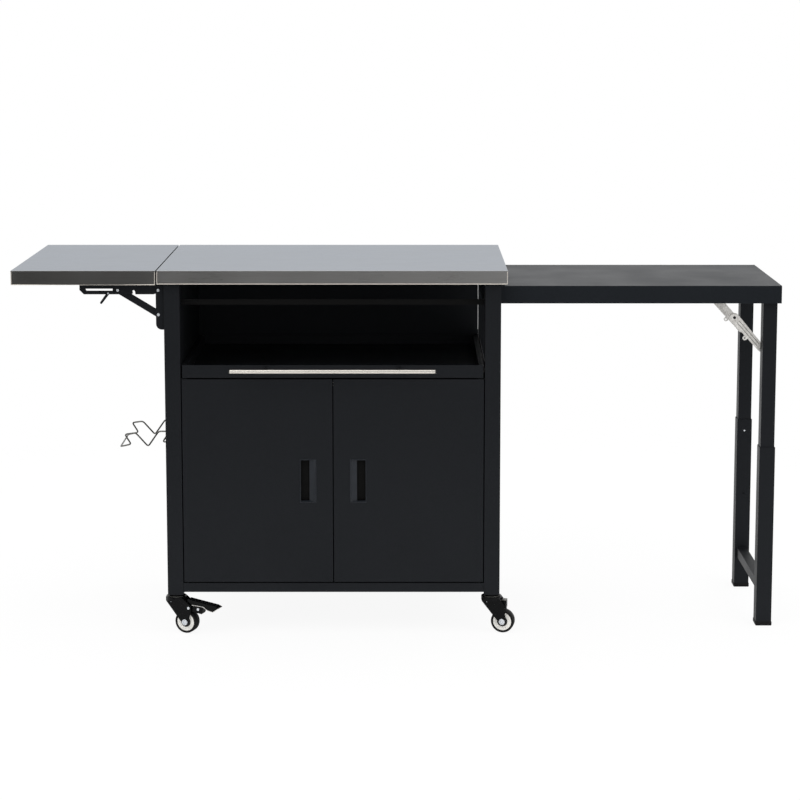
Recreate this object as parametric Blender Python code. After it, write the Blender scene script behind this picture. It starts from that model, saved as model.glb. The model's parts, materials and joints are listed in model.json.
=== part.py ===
"""A grill cart: a steel cabinet on casters under a stainless worktop, with a folding shelf at the
left, a pull-out table on folding legs at the right, a sliding tray, two doors and a wire rack."""

from math import atan2, cos, hypot, pi, radians, sin, sqrt

import bmesh
import bpy
from mathutils import Matrix, Vector

# Sizes are in metres and angles in degrees. X runs right from the middle of the worktop,
# Y runs back from its front edge, and Z runs up from the floor.
FIT_GAP = 0.0003
SHEET = 0.0012

# Worktop, posts and cabinet
WORKTOP_HEIGHT = 0.896
WORKTOP_WIDTH = 0.840
WORKTOP_DEPTH = 0.540
WORKTOP_APRON = 0.0325
WORKTOP_HEM = 0.008
POST_SIZE = 0.038
POST_WALL = 0.0015
POST_INSET = 0.015
POST_FOOT = 0.003
FLOOR_LIFT = 0.007
FLOOR_DEEP = 0.0226
BACK_INSET = 0.002
BACK_CRACK = 0.005
BACK_CRACK_LIFT = 0.014

# Doors
DOOR_THICK = 0.016
DOOR_HEIGHT = 0.5018
DOOR_FOOT_GAP = 0.0029
DOOR_SIDE_GAP = 0.0025
DOOR_MIDDLE_GAP = 0.0024
DOOR_PIVOT_IN = 0.0085
DOOR_PIVOT_BACK = 0.005
DOOR_PIN_RADIUS = 0.0025
DOOR_TAB_THICK = 0.0015
PULL_WIDTH = 0.041
PULL_HEIGHT = 0.108
PULL_DEEP = 0.0135
PULL_FROM_EDGE = 0.039
PULL_LIFT = 0.1975
PULL_SLOPE = 0.016
DIVIDER_BEHIND = 0.005
DIVIDER_HEIGHT = 0.027
DIVIDER_DEEP = 0.024
CATCH_WIDTH = 0.060
CATCH_HEIGHT = 0.016

# Tray on its runners
TRAY_GAP = 0.0035
TRAY_LIP_HEIGHT = 0.0312
TRAY_LIP_GAP = 0.004
TRAY_FLOOR_LIFT = 0.006
TRAY_BACK_GAP = 0.0087
RUNNER_WIDE = 0.0132
RUNNER_HEIGHT = 0.015
RUNNER_DROP = 0.009
RUNNER_BACK_GAP = 0.014
TONGUE_WIDE = 0.005
TRAY_FLANGE = 0.011
BAR_LENGTH = 0.500
BAR_RADIUS = 0.005
BAR_REACH = 0.030
BAR_PITCH = 0.320
BAR_POST_RADIUS = 0.004

# Folding shelf and its two brackets
SHELF_LENGTH = 0.345
SHELF_APRON = 0.034
SHELF_GAP = 0.003
STIFFENER_WIDE = 0.024
STIFFENER_INSET = 0.008
BRACKET_STEEL = 0.0015
PLATE_WIDE = 0.0197
PLATE_HEIGHT = 0.108
PLATE_DROP = 0.004
PLATE_HALF = 0.0095
SHELF_PIVOT_OUT = 0.014
SHELF_PIVOT_DROP = 0.016
STRUT_PIVOT_DROP = 0.0595
STRUT_PIN_OUT = 0.0975
STRUT_THICK = 0.003
STRUT_HALF = 0.0083
ARM_REACH = 0.189
ARM_HEIGHT = 0.026
ARM_HEEL = 0.007
NOTCH_TURN = 86.0
BRACKET_PIN_RADIUS = 0.003
SLOT_SPARE = 0.0003
SLIDER_LENGTH = 0.024
SLIDER_HEIGHT = 0.011
SHELF_FOLD = 80.0
LEVER_OUT = 0.120
LEVER_RISE = 0.0028
LEVER_THICK = 0.002
LEVER_HALF = 0.0035
LEVER_TIP_OUT = 0.017
LEVER_TIP_DROP = 0.023

# Pull-out table, its rails and its folding legs
TABLE_DROP = 0.045
TABLE_APRON = 0.043
TABLE_SIDE_GAP = 0.012
TABLE_REACH = 0.682
TABLE_TAIL = 0.040
TABLE_HEM = 0.005
GUIDE_LENGTH = 0.030
GUIDE_HEIGHT = 0.028
RAIL_FLANGE = 0.014
LEG_SIZE = 0.034
SLEEVE_SIZE = 0.038
SLEEVE_WALL = 0.0015
SLEEVE_TOP = 0.450
SLEEVE_FOOT = 0.003
LEG_WALL = 0.0015
LEG_SIDE_INSET = 0.011
LEG_END_INSET = 0.0057
LEG_PIVOT_DROP = 0.027
LEG_HEAD = 0.014
LEG_ROD_RADIUS = 0.006
LEG_HOLE_RADIUS = 0.0035
LEG_HOLE_DROP = 0.030
LEG_OVERLAP = 0.024
TELESCOPE = 0.166
CROSSBAR_SIZE = 0.025
CROSSBAR_TOP = 0.106
HINGE_THICK = 0.003
HINGE_WIDE = 0.025
HINGE_FROM_LEG = 0.060
BRACE_STEEL = 0.0025
BRACE_UPPER_HALF = 0.006
BRACE_HALF = 0.0087
BRACE_ELBOW_HALF = 0.0112
BRACE_FROM_LEG = 0.0025
BRACE_LEG_IN = 0.0144
BRACE_LEG_DROP = 0.1345
BRACE_TABLE_IN = 0.1427
BRACE_TABLE_RISE = 0.012
BRACE_PIN_RADIUS = 0.003
BRACE_TAB_ALONG = 0.046
BRACE_TAB_OUT = 0.005
BRACE_TAB_RADIUS = 0.0055
BRACE_EAR_HALF = 0.013

# Tool rack of bent wire. Its steps are shares of its reach out from the posts and of its rise.
RACK_HEIGHT = 0.427
RACK_RISE = 0.0385
RACK_REACH = 0.1335
RACK_FRONT = 0.196
RACK_PITCH = 0.148
RACK_WIRE_RADIUS = 0.002
RACK_BEND_RADIUS = 0.006
RACK_STEPS = (
    (0.21, 0.3), (0.08, 1.0), (0.285, 1.0), (0.485, 0.0),
    (0.716, 0.9), (0.921, 0.8), (0.804, 0.15), (1.0, 0.0),
)

# Casters
CASTER_HEIGHT = 0.096
WHEEL_RADIUS = 0.0285
WHEEL_WIDTH = 0.024
RIM_RADIUS = 0.0226
RIM_WIDTH = 0.021
AXLE_RADIUS = 0.004
CASTER_TRAIL = 0.029
CHEEK_GAP = 0.0015
CHEEK_THICK = 0.002
CHEEK_FOOT = 0.0095
SWIVEL_RADIUS = 0.017
SWIVEL_CAP_RADIUS = 0.025
SWIVEL_CAP_DROP = 0.006
SWIVEL_CAP_DEEP = 0.010
PEDAL_PIN_OUT = 0.0395
PEDAL_PIN_RISE = 0.065
PEDAL_REACH = 0.1188
PEDAL_HALF = 0.0105

# Places worked out from the sizes
POST_OUT_X = WORKTOP_WIDTH / 2 - POST_INSET
POST_IN_X = POST_OUT_X - POST_SIZE
POST_MID_X = POST_OUT_X - POST_SIZE / 2
FRONT_POST_Y = POST_INSET
FRONT_POST_BACK = FRONT_POST_Y + POST_SIZE
REAR_POST_BACK = WORKTOP_DEPTH - POST_INSET
REAR_POST_Y = REAR_POST_BACK - POST_SIZE
POST_TOP = WORKTOP_HEIGHT - SHEET - FIT_GAP
INSIDE_X = POST_IN_X - FIT_GAP
BACK_Y = REAR_POST_Y + BACK_INSET
FLOOR_LOW = CASTER_HEIGHT + FLOOR_LIFT
FLOOR_TOP = FLOOR_LOW + FLOOR_DEEP
DOOR_LOW = FLOOR_TOP + DOOR_FOOT_GAP
DOOR_TOP = DOOR_LOW + DOOR_HEIGHT
DOOR_BACK = FRONT_POST_Y + DOOR_THICK
DOOR_OUT_X = POST_IN_X - DOOR_SIDE_GAP
DOOR_PIVOT_X = DOOR_OUT_X - DOOR_PIVOT_IN
DOOR_PIVOT_Y = FRONT_POST_Y + DOOR_PIVOT_BACK
TRAY_LOW = DOOR_TOP + TRAY_GAP
TRAY_TOP = TRAY_LOW + TRAY_LIP_HEIGHT
TRAY_SIDE_X = INSIDE_X - RUNNER_WIDE - FIT_GAP
TRAY_BACK = BACK_Y - TRAY_BACK_GAP
RUNNER_TOP = TRAY_TOP - RUNNER_DROP
RUNNER_LOW = RUNNER_TOP - RUNNER_HEIGHT
RUNNER_BACK = REAR_POST_Y - RUNNER_BACK_GAP
SHELF_IN_X = -WORKTOP_WIDTH / 2 - SHELF_GAP
SHELF_OUT_X = SHELF_IN_X - SHELF_LENGTH
SHELF_LOW = WORKTOP_HEIGHT - SHELF_APRON
BRACKET_Y = (FRONT_POST_Y + POST_SIZE / 2, REAR_POST_Y + POST_SIZE / 2)
SHELF_PIVOT = Vector((-POST_OUT_X - SHELF_PIVOT_OUT, 0, SHELF_LOW - SHELF_PIVOT_DROP))
STRUT_PIVOT = SHELF_PIVOT - Vector((0, 0, STRUT_PIVOT_DROP))
STRUT_PIN = SHELF_PIVOT - Vector((STRUT_PIN_OUT, 0, 0))
STRUT_LENGTH = hypot(STRUT_PIN_OUT, STRUT_PIVOT_DROP)
TABLE_IN_X = POST_OUT_X - TABLE_TAIL
TABLE_OUT_X = POST_OUT_X + TABLE_REACH
TABLE_TOP = WORKTOP_HEIGHT - TABLE_DROP
TABLE_LOW = TABLE_TOP - TABLE_APRON
TABLE_FRONT = FRONT_POST_BACK + TABLE_SIDE_GAP
TABLE_BACK = REAR_POST_Y - TABLE_SIDE_GAP
LEG_X = TABLE_OUT_X - LEG_END_INSET - SLEEVE_SIZE / 2
LEG_Y = (TABLE_FRONT + LEG_SIDE_INSET + SLEEVE_SIZE / 2, TABLE_BACK - LEG_SIDE_INSET - SLEEVE_SIZE / 2)
LEG_PIVOT_Z = TABLE_TOP - LEG_PIVOT_DROP
LEG_HOLE_HIGH = SLEEVE_TOP - LEG_HOLE_DROP
LEG_HOLE_LOW = LEG_HOLE_HIGH - TELESCOPE
LEG_LOW = TELESCOPE + LEG_OVERLAP
BRACE_TABLE = Vector((LEG_X - BRACE_TABLE_IN, 0, LEG_PIVOT_Z + BRACE_TABLE_RISE))
BRACE_LEG = Vector((LEG_X - BRACE_LEG_IN, 0, LEG_PIVOT_Z - BRACE_LEG_DROP))
AXLE_Z = WHEEL_RADIUS
CHEEK_IN = WHEEL_WIDTH / 2 + CHEEK_GAP
# Where each caster's post stands, and how far its trail is turned from X, in degrees.
CASTER_PLACES = {
    "front_left": (-POST_MID_X, BRACKET_Y[0], -21.0),
    "front_right": (POST_MID_X, BRACKET_Y[0], -13.0),
    "rear_left": (-POST_MID_X, BRACKET_Y[1], -16.0),
    "rear_right": (POST_MID_X, BRACKET_Y[1], 167.0),
}
# The model's origin lies on the floor under the middle of the whole cart.
HANDLE_FRONT = FRONT_POST_Y - BAR_REACH - BAR_RADIUS
ORIGIN = Vector(((SHELF_OUT_X + TABLE_OUT_X) / 2, (HANDLE_FRONT + WORKTOP_DEPTH) / 2, 0))


def strut_travel():
    """The slide pin's way along the arm, in metres, and the strut's turn, in degrees."""
    fold = radians(SHELF_FOLD)
    drop = STRUT_PIVOT_DROP * sin(fold)
    reach = drop + sqrt(drop ** 2 - STRUT_PIVOT_DROP ** 2 + STRUT_LENGTH ** 2)
    start = atan2(STRUT_PIVOT_DROP, -STRUT_PIN_OUT)
    end = atan2(STRUT_PIVOT_DROP - reach * sin(fold), -reach * cos(fold)) + 2 * pi
    return reach - STRUT_PIN_OUT, (end - start) * 180 / pi


def brace_links():
    """Lengths of the upper and lower brace links, which meet with the legs down and folded."""
    span = (BRACE_LEG - BRACE_TABLE).length
    folded = Vector((LEG_X - BRACE_LEG_DROP, 0, LEG_PIVOT_Z + BRACE_LEG_IN))
    shift = folded - BRACE_TABLE
    upper = (span ** 2 - shift.length ** 2) / (2 * (span + shift.x))
    return upper, span - upper


BRACE_UPPER, BRACE_LOWER = brace_links()
BRACE_ELBOW = BRACE_TABLE + (BRACE_LEG - BRACE_TABLE).normalized() * BRACE_UPPER


def clear_scene():
    for old in list(bpy.data.objects):
        bpy.data.objects.remove(old, do_unlink=True)


def make_finish(name, colour, roughness, metallic):
    finish = bpy.data.materials.new(name)
    finish.use_nodes = True
    shader = finish.node_tree.nodes["Principled BSDF"]
    shader.inputs["Base Color"].default_value = (*colour, 1)
    shader.inputs["Roughness"].default_value = roughness
    shader.inputs["Metallic"].default_value = metallic
    return finish


def make_finishes():
    """The finish of each kind of surface, by name."""
    return {
        "stainless": make_finish("stainless", (0.42, 0.45, 0.48), 0.35, 1.0),
        "black_steel": make_finish("black_steel", (0.016, 0.017, 0.019), 0.5, 0.0),
        "zinc": make_finish("zinc", (0.62, 0.62, 0.60), 0.35, 1.0),
        "wire": make_finish("wire", (0.40, 0.41, 0.42), 0.4, 1.0),
        "nylon": make_finish("nylon", (0.02, 0.02, 0.02), 0.6, 0.0),
        "rim": make_finish("rim", (0.78, 0.76, 0.70), 0.5, 0.0),
        "rubber": make_finish("rubber", (0.012, 0.012, 0.013), 0.7, 0.0),
    }


def block(low, high):
    """A box between two corners."""
    low, high = Vector(low), Vector(high)
    shape = bmesh.new()
    matrix = Matrix.Translation((low + high) / 2) @ Matrix.Diagonal((*(high - low), 1))
    bmesh.ops.create_cube(shape, size=1, matrix=matrix)
    return shape


def rod(start, end, radius, sides=24):
    """A round bar between two points."""
    start, end = Vector(start), Vector(end)
    turn = (end - start).to_track_quat("Z", "Y").to_matrix().to_4x4()
    shape = bmesh.new()
    bmesh.ops.create_cone(
        shape, cap_ends=True, segments=sides, radius1=radius, radius2=radius,
        depth=(end - start).length, matrix=Matrix.Translation((start + end) / 2) @ turn,
    )
    return shape


def slab(outline, start, end, axis="Y"):
    """An outline pushed along an axis. Its points are (x, z) for Y, (y, z) for X, (x, y) for Z."""
    place = {
        "X": lambda a, b, along: (along, a, b),
        "Y": lambda a, b, along: (a, along, b),
        "Z": lambda a, b, along: (a, b, along),
    }[axis]
    shape = bmesh.new()
    corners = [shape.verts.new(place(a, b, start)) for a, b in outline]
    face = shape.faces.new(corners)
    grown = bmesh.ops.extrude_face_region(shape, geom=[face])
    moved = [item for item in grown["geom"] if isinstance(item, bmesh.types.BMVert)]
    bmesh.ops.translate(shape, verts=moved, vec=Vector(place(0, 0, end)) - Vector(place(0, 0, start)))
    bmesh.ops.recalc_face_normals(shape, faces=shape.faces)
    return shape


def strap_outline(start, end, start_half, end_half, steps=8):
    """Outline of a flat bar with round ends about two points, each an (x, z) pair."""
    heading = atan2(end[1] - start[1], end[0] - start[0])
    points = []
    for centre, half, first in ((end, end_half, heading - pi / 2), (start, start_half, heading + pi / 2)):
        for step in range(steps + 1):
            angle = first + pi * step / steps
            points.append((centre[0] + half * cos(angle), centre[1] + half * sin(angle)))
    return points


def ring(profile, centre, sides=32):
    """A closed outline of (radius, y) points turned about an axis along Y."""
    shape = bmesh.new()
    rows = []
    for side in range(sides):
        angle = 2 * pi * side / sides
        rows.append([
            shape.verts.new((centre[0] + r * cos(angle), centre[1] + y, centre[2] + r * sin(angle)))
            for r, y in profile
        ])
    count = len(profile)
    for side in range(sides):
        row, after = rows[side], rows[(side + 1) % sides]
        for i in range(count):
            j = (i + 1) % count
            shape.faces.new((row[i], row[j], after[j], after[i]))
    bmesh.ops.recalc_face_normals(shape, faces=shape.faces)
    return shape


def moved(shape, matrix):
    bmesh.ops.transform(shape, matrix=matrix, verts=shape.verts)
    return shape


def mesh_object(name, shape, pivot):
    """An object whose origin is the pivot, from a shape in the cart's own coordinates."""
    bmesh.ops.translate(shape, verts=shape.verts, vec=-Vector(pivot))
    mesh = bpy.data.meshes.new(name)
    shape.to_mesh(mesh)
    shape.free()
    mesh.shade_smooth()
    mesh.set_sharp_from_angle(angle=radians(30))
    made = bpy.data.objects.new(name, mesh)
    made.location = Vector(pivot) - ORIGIN
    bpy.context.scene.collection.objects.link(made)
    return made


def piece(name, finish, base, *steps, pivot=(0, 0, 0)):
    """A finished solid: a base shape, then ("join", shape) or ("cut", shape) steps in order."""
    made = mesh_object(name, base, pivot)
    made.data.materials.append(finish)
    for number, (kind, shape) in enumerate(steps):
        guide = mesh_object(f"{name}_{kind}_{number}", shape, (0, 0, 0))
        guide.hide_render = True
        guide.display_type = "WIRE"
        change = made.modifiers.new(kind, "BOOLEAN")
        change.operation = "UNION" if kind == "join" else "DIFFERENCE"
        change.solver = "EXACT"
        change.object = guide
    return made


def pan_cuts(low, high, hem, wall=SHEET):
    """Cuts that turn a box into a sheet pan, open below, with an inward hem of that width."""
    x0, y0, z0 = low
    x1, y1, z1 = high
    hollow = block((x0 + wall, y0 + wall, z0 + wall), (x1 - wall, y1 - wall, z1 - wall))
    middle = (z0 + z1) / 2
    mouth = block((x0 + hem, y0 + hem, z0 - wall), (x1 - hem, y1 - hem, middle))
    return ("cut", hollow), ("cut", mouth)


def build_worktop(finish):
    low = (-WORKTOP_WIDTH / 2, 0, WORKTOP_HEIGHT - WORKTOP_APRON)
    high = (WORKTOP_WIDTH / 2, WORKTOP_DEPTH, WORKTOP_HEIGHT)
    piece("worktop", finish["stainless"], block(low, high), *pan_cuts(low, high, WORKTOP_HEM))


def build_post(name, side, y, finish, tab):
    """A square tube with a closed foot; the front ones carry a tab for the door's top pin."""
    x0, x1 = sorted((side * POST_IN_X, side * POST_OUT_X))
    base = block((x0, y, CASTER_HEIGHT), (x1, y + POST_SIZE, POST_TOP))
    bore = block(
        (x0 + POST_WALL, y + POST_WALL, CASTER_HEIGHT + POST_FOOT),
        (x1 - POST_WALL, y + POST_SIZE - POST_WALL, POST_TOP + POST_WALL),
    )
    steps = [("cut", bore)]
    if tab:
        half = DOOR_PIN_RADIUS * 2
        reach = side * (DOOR_PIVOT_X - half)
        a, b = sorted((reach, side * (POST_IN_X + POST_WALL / 2)))
        low = DOOR_TOP + FIT_GAP
        top = low + DOOR_TAB_THICK
        steps.append(("join", block((a, DOOR_PIVOT_Y - half / 2, low), (b, DOOR_PIVOT_Y + half, top))))
        pin = (side * DOOR_PIVOT_X, DOOR_PIVOT_Y)
        steps.append(("cut", rod((*pin, low - SHEET), (*pin, top + SHEET), DOOR_PIN_RADIUS + FIT_GAP)))
    piece(name, finish["black_steel"], base, *steps)


def build_posts(finish):
    for side, word in ((-1, "left"), (1, "right")):
        build_post(f"front_{word}_post", side, FRONT_POST_Y, finish, True)
        build_post(f"rear_{word}_post", side, REAR_POST_Y, finish, False)


def build_cabinet(finish):
    """Floor pan, side panels, back panel, divider rail and door catch."""
    steel = finish["black_steel"]
    low = (-INSIDE_X, FRONT_POST_Y, FLOOR_LOW)
    high = (INSIDE_X, BACK_Y - FIT_GAP, FLOOR_TOP)
    piece("floor_pan", steel, block(low, high), *pan_cuts(low, high, SHEET))
    for side, word, top in ((-1, "left", POST_TOP), (1, "right", TRAY_TOP)):
        a, b = sorted((side * POST_IN_X, side * (POST_IN_X + SHEET)))
        panel = block((a, FRONT_POST_BACK + FIT_GAP, FLOOR_LOW), (b, REAR_POST_Y - FIT_GAP, top))
        piece(f"{word}_side_panel", steel, panel)
    back = block((-INSIDE_X, BACK_Y, FLOOR_LOW), (INSIDE_X, BACK_Y + SHEET, POST_TOP))
    crack = block(
        (POST_IN_X - BACK_CRACK, BACK_Y - SHEET, TRAY_TOP + BACK_CRACK_LIFT),
        (POST_IN_X + SHEET, BACK_Y + 2 * SHEET, POST_TOP + SHEET),
    )
    piece("back_panel", steel, back, ("cut", crack))
    front = DOOR_BACK + DIVIDER_BEHIND
    top = DOOR_TOP
    low = top - DIVIDER_HEIGHT
    outline = (
        (front, low), (front + SHEET, low), (front + SHEET, top - SHEET),
        (front + DIVIDER_DEEP, top - SHEET), (front + DIVIDER_DEEP, top), (front, top),
    )
    piece("divider_rail", steel, slab(outline, -INSIDE_X, INSIDE_X, "X"))
    catch_low = low + (DIVIDER_HEIGHT - CATCH_HEIGHT) / 2
    catch = block(
        (-CATCH_WIDTH / 2, DOOR_BACK + FIT_GAP, catch_low),
        (CATCH_WIDTH / 2, front - FIT_GAP, catch_low + CATCH_HEIGHT),
    )
    piece("door_catch", finish["nylon"], catch)


def build_door(side, word, finish):
    """A folded steel door with a recessed pull, hung on a pin at top and foot."""
    inner_x = DOOR_MIDDLE_GAP / 2
    a, b = sorted((side * inner_x, side * DOOR_OUT_X))
    pivot = (side * DOOR_PIVOT_X, DOOR_PIVOT_Y, DOOR_LOW)
    base = block((a, FRONT_POST_Y, DOOR_LOW), (b, DOOR_BACK, DOOR_TOP))
    hollow = block(
        (a + SHEET, FRONT_POST_Y + SHEET, DOOR_LOW + SHEET),
        (b - SHEET, DOOR_BACK + SHEET, DOOR_TOP - SHEET),
    )
    p, q = sorted((side * (inner_x + PULL_FROM_EDGE), side * (inner_x + PULL_FROM_EDGE + PULL_WIDTH)))
    low = DOOR_LOW + PULL_LIFT
    high = low + PULL_HEIGHT
    window = block((p, FRONT_POST_Y - SHEET, low), (q, FRONT_POST_Y + 2 * SHEET, high))
    foot_pin = rod((*pivot[:2], FLOOR_TOP + FIT_GAP), (*pivot[:2], DOOR_LOW + SHEET / 2), DOOR_PIN_RADIUS)
    head = DOOR_TOP + FIT_GAP + DOOR_TAB_THICK
    head_pin = rod((*pivot[:2], DOOR_TOP - SHEET / 2), (*pivot[:2], head), DOOR_PIN_RADIUS)
    piece(
        f"{word}_door", finish["black_steel"], base, ("cut", hollow), ("cut", window),
        ("join", foot_pin), ("join", head_pin), pivot=pivot,
    )
    cup = block(
        (p + FIT_GAP, FRONT_POST_Y, low + FIT_GAP),
        (q - FIT_GAP, FRONT_POST_Y + PULL_DEEP, high - FIT_GAP),
    )
    near, far = inner_x + PULL_FROM_EDGE + 2 * SHEET, inner_x + PULL_FROM_EDGE + PULL_WIDTH - 2 * SHEET
    mouth, bottom = FRONT_POST_Y - SHEET, FRONT_POST_Y + PULL_DEEP - SHEET
    outline = [(near, mouth), (far, mouth), (far, bottom), (near + PULL_SLOPE, bottom)]
    pocket = slab([(side * x, y) for x, y in outline], low + 2 * SHEET, high - 2 * SHEET, "Z")
    piece(f"{word}_door_pull", finish["nylon"], cup, ("cut", pocket), pivot=pivot)


def build_tray(finish):
    """The sliding tray with its front lip and side tongues, its two runners and its bar handle."""
    steel = finish["black_steel"]
    floor = TRAY_LOW + TRAY_FLOOR_LIFT
    lip_x = POST_IN_X - TRAY_LIP_GAP
    tray = block((-TRAY_SIDE_X, FRONT_POST_Y, floor), (TRAY_SIDE_X, TRAY_BACK, TRAY_TOP))
    hollow = block(
        (-TRAY_SIDE_X + SHEET, FRONT_POST_Y + SHEET, floor + SHEET),
        (TRAY_SIDE_X - SHEET, TRAY_BACK - SHEET, TRAY_TOP + SHEET),
    )
    steps = [("cut", hollow)]
    lip = block((-lip_x, FRONT_POST_Y, TRAY_LOW), (lip_x, FRONT_POST_Y + SHEET, TRAY_TOP))
    steps.append(("join", lip))
    for side, word in ((-1, "left"), (1, "right")):
        root = TRAY_SIDE_X - SHEET / 2
        a, b = sorted((side * root, side * (TRAY_SIDE_X + TRAY_FLANGE)))
        rim = block((a, FRONT_POST_Y + SHEET / 2, TRAY_TOP - SHEET), (b, TRAY_BACK, TRAY_TOP))
        a, b = sorted((side * root, side * (TRAY_SIDE_X + TONGUE_WIDE)))
        tongue = block(
            (a, FRONT_POST_BACK + FIT_GAP, RUNNER_LOW + SHEET + FIT_GAP),
            (b, RUNNER_BACK, RUNNER_TOP - SHEET - FIT_GAP),
        )
        steps += [("join", rim), ("join", tongue)]
        web, tip = INSIDE_X, TRAY_SIDE_X + FIT_GAP
        outline = [
            (web, RUNNER_LOW), (web, RUNNER_TOP), (tip, RUNNER_TOP), (tip, RUNNER_TOP - SHEET),
            (web - SHEET, RUNNER_TOP - SHEET), (web - SHEET, RUNNER_LOW + SHEET),
            (tip, RUNNER_LOW + SHEET), (tip, RUNNER_LOW),
        ]
        runner = slab([(side * x, z) for x, z in outline], FRONT_POST_BACK + FIT_GAP, RUNNER_BACK)
        piece(f"{word}_tray_runner", finish["zinc"], runner)
    piece("tray", steel, tray, *steps)
    build_tray_handle(finish)


def build_tray_handle(finish):
    y = FRONT_POST_Y - BAR_REACH
    z = (TRAY_LOW + TRAY_TOP) / 2 + BAR_RADIUS
    bar = rod((-BAR_LENGTH / 2, y, z), (BAR_LENGTH / 2, y, z), BAR_RADIUS)
    posts = [
        ("join", rod((x, y, z), (x, FRONT_POST_Y - FIT_GAP, z), BAR_POST_RADIUS))
        for x in (-BAR_PITCH / 2, BAR_PITCH / 2)
    ]
    piece("tray_handle", finish["zinc"], bar, *posts)


def build_shelf(finish):
    """The folding shelf: a sheet pan with a stiffening channel over each bracket."""
    low = (SHELF_OUT_X, 0, SHELF_LOW)
    high = (SHELF_IN_X, WORKTOP_DEPTH, WORKTOP_HEIGHT)
    steps = list(pan_cuts(low, high, WORKTOP_HEM))
    for y in BRACKET_Y:
        half = STIFFENER_WIDE / 2
        x0, x1 = SHELF_OUT_X + STIFFENER_INSET, SHELF_IN_X - STIFFENER_INSET
        channel = block((x0, y - half, SHELF_LOW), (x1, y + half, WORKTOP_HEIGHT - SHEET / 2))
        bore = block(
            (x0 - SHEET, y - half + SHEET, SHELF_LOW + SHEET),
            (x1 + SHEET, y + half - SHEET, WORKTOP_HEIGHT - SHEET),
        )
        steps += [("join", channel), ("cut", bore)]
    piece("side_shelf", finish["stainless"], block(low, high), *steps, pivot=SHELF_PIVOT)


def build_bracket(word, y, finish):
    """One folding bracket: wall plate, arm, strut, sliding pin and release lever."""
    build_bracket_plate(word, y, finish)
    build_bracket_arm(word, y, finish)
    build_bracket_strut(word, y, finish)
    build_bracket_lever(word, y, finish)


def build_bracket_plate(word, y, finish):
    """A channel on the post with its two fixed pins, rounded at the foot."""
    x1 = -POST_OUT_X - FIT_GAP
    x0 = x1 - PLATE_WIDE
    top = SHELF_LOW - PLATE_DROP
    low = top - PLATE_HEIGHT
    radius = PLATE_WIDE * 0.7
    outline = [(x1, top), (x0, top)]
    for step in range(7):
        angle = pi + pi / 2 * step / 6
        outline.append((x0 + radius + radius * cos(angle), low + radius + radius * sin(angle)))
    outline.append((x1, low))
    inner = PLATE_HALF - BRACKET_STEEL
    gap = block((x0 - SHEET, y - inner, low - SHEET), (x1 - BRACKET_STEEL, y + inner, top + SHEET))
    pins = [
        ("join", rod((spot.x, y - PLATE_HALF, spot.z), (spot.x, y + PLATE_HALF, spot.z), BRACKET_PIN_RADIUS))
        for spot in (SHELF_PIVOT, STRUT_PIVOT)
    ]
    piece(
        f"{word}_bracket_plate", finish["black_steel"],
        slab(outline, y - PLATE_HALF, y + PLATE_HALF), ("cut", gap), *pins,
    )


def build_bracket_arm(word, y, finish):
    """An inverted channel under the shelf, slotted for the sliding pin and notched for the strut's."""
    half = PLATE_HALF - BRACKET_STEEL - FIT_GAP
    top = SHELF_LOW - FIT_GAP
    low = top - ARM_HEIGHT
    x1 = SHELF_PIVOT.x + ARM_HEEL
    x0 = SHELF_PIVOT.x - ARM_REACH
    nose = ARM_HEIGHT * 0.4
    outline = [
        (x1, top), (x0, top), (x0, low + nose), (x0 + nose, low),
        (SHELF_PIVOT.x - nose, low), (x1, SHELF_PIVOT.z - LEVER_RISE),
    ]
    inner = half - BRACKET_STEEL
    gap = block((x0 - SHEET, y - inner, low - SHEET), (x1 + SHEET, y + inner, top - BRACKET_STEEL))
    hole = BRACKET_PIN_RADIUS + FIT_GAP
    side = half + SHEET
    pivot_hole = rod((SHELF_PIVOT.x, y - side, SHELF_PIVOT.z), (SHELF_PIVOT.x, y + side, SHELF_PIVOT.z), hole)
    travel = strut_travel()[0] + SLOT_SPARE
    start = (STRUT_PIN.x + SLOT_SPARE, SHELF_PIVOT.z)
    end = (STRUT_PIN.x - travel, SHELF_PIVOT.z)
    slot = slab(strap_outline(start, end, hole, hole), y - side, y + side)
    mouth, seat = [
        (SHELF_PIVOT.x - STRUT_PIVOT_DROP * sin(turn), SHELF_PIVOT.z - STRUT_PIVOT_DROP * cos(turn))
        for turn in (radians(SHELF_FOLD), radians(NOTCH_TURN))
    ]
    notch_half = BRACKET_PIN_RADIUS + 3 * FIT_GAP
    notch = slab(strap_outline(mouth, seat, notch_half, notch_half), y - side, y + side)
    lever_x, lever_z = SHELF_PIVOT.x - LEVER_OUT, low + LEVER_RISE
    stub = rod(
        (lever_x, y - half - LEVER_THICK - 2 * FIT_GAP, lever_z),
        (lever_x, y - inner, lever_z), BRACKET_PIN_RADIUS * 0.7, 16,
    )
    piece(
        f"{word}_bracket_arm", finish["black_steel"], slab(outline, y - half, y + half),
        ("cut", gap), ("cut", pivot_hole), ("cut", slot), ("cut", notch), ("join", stub),
        pivot=SHELF_PIVOT,
    )


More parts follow.
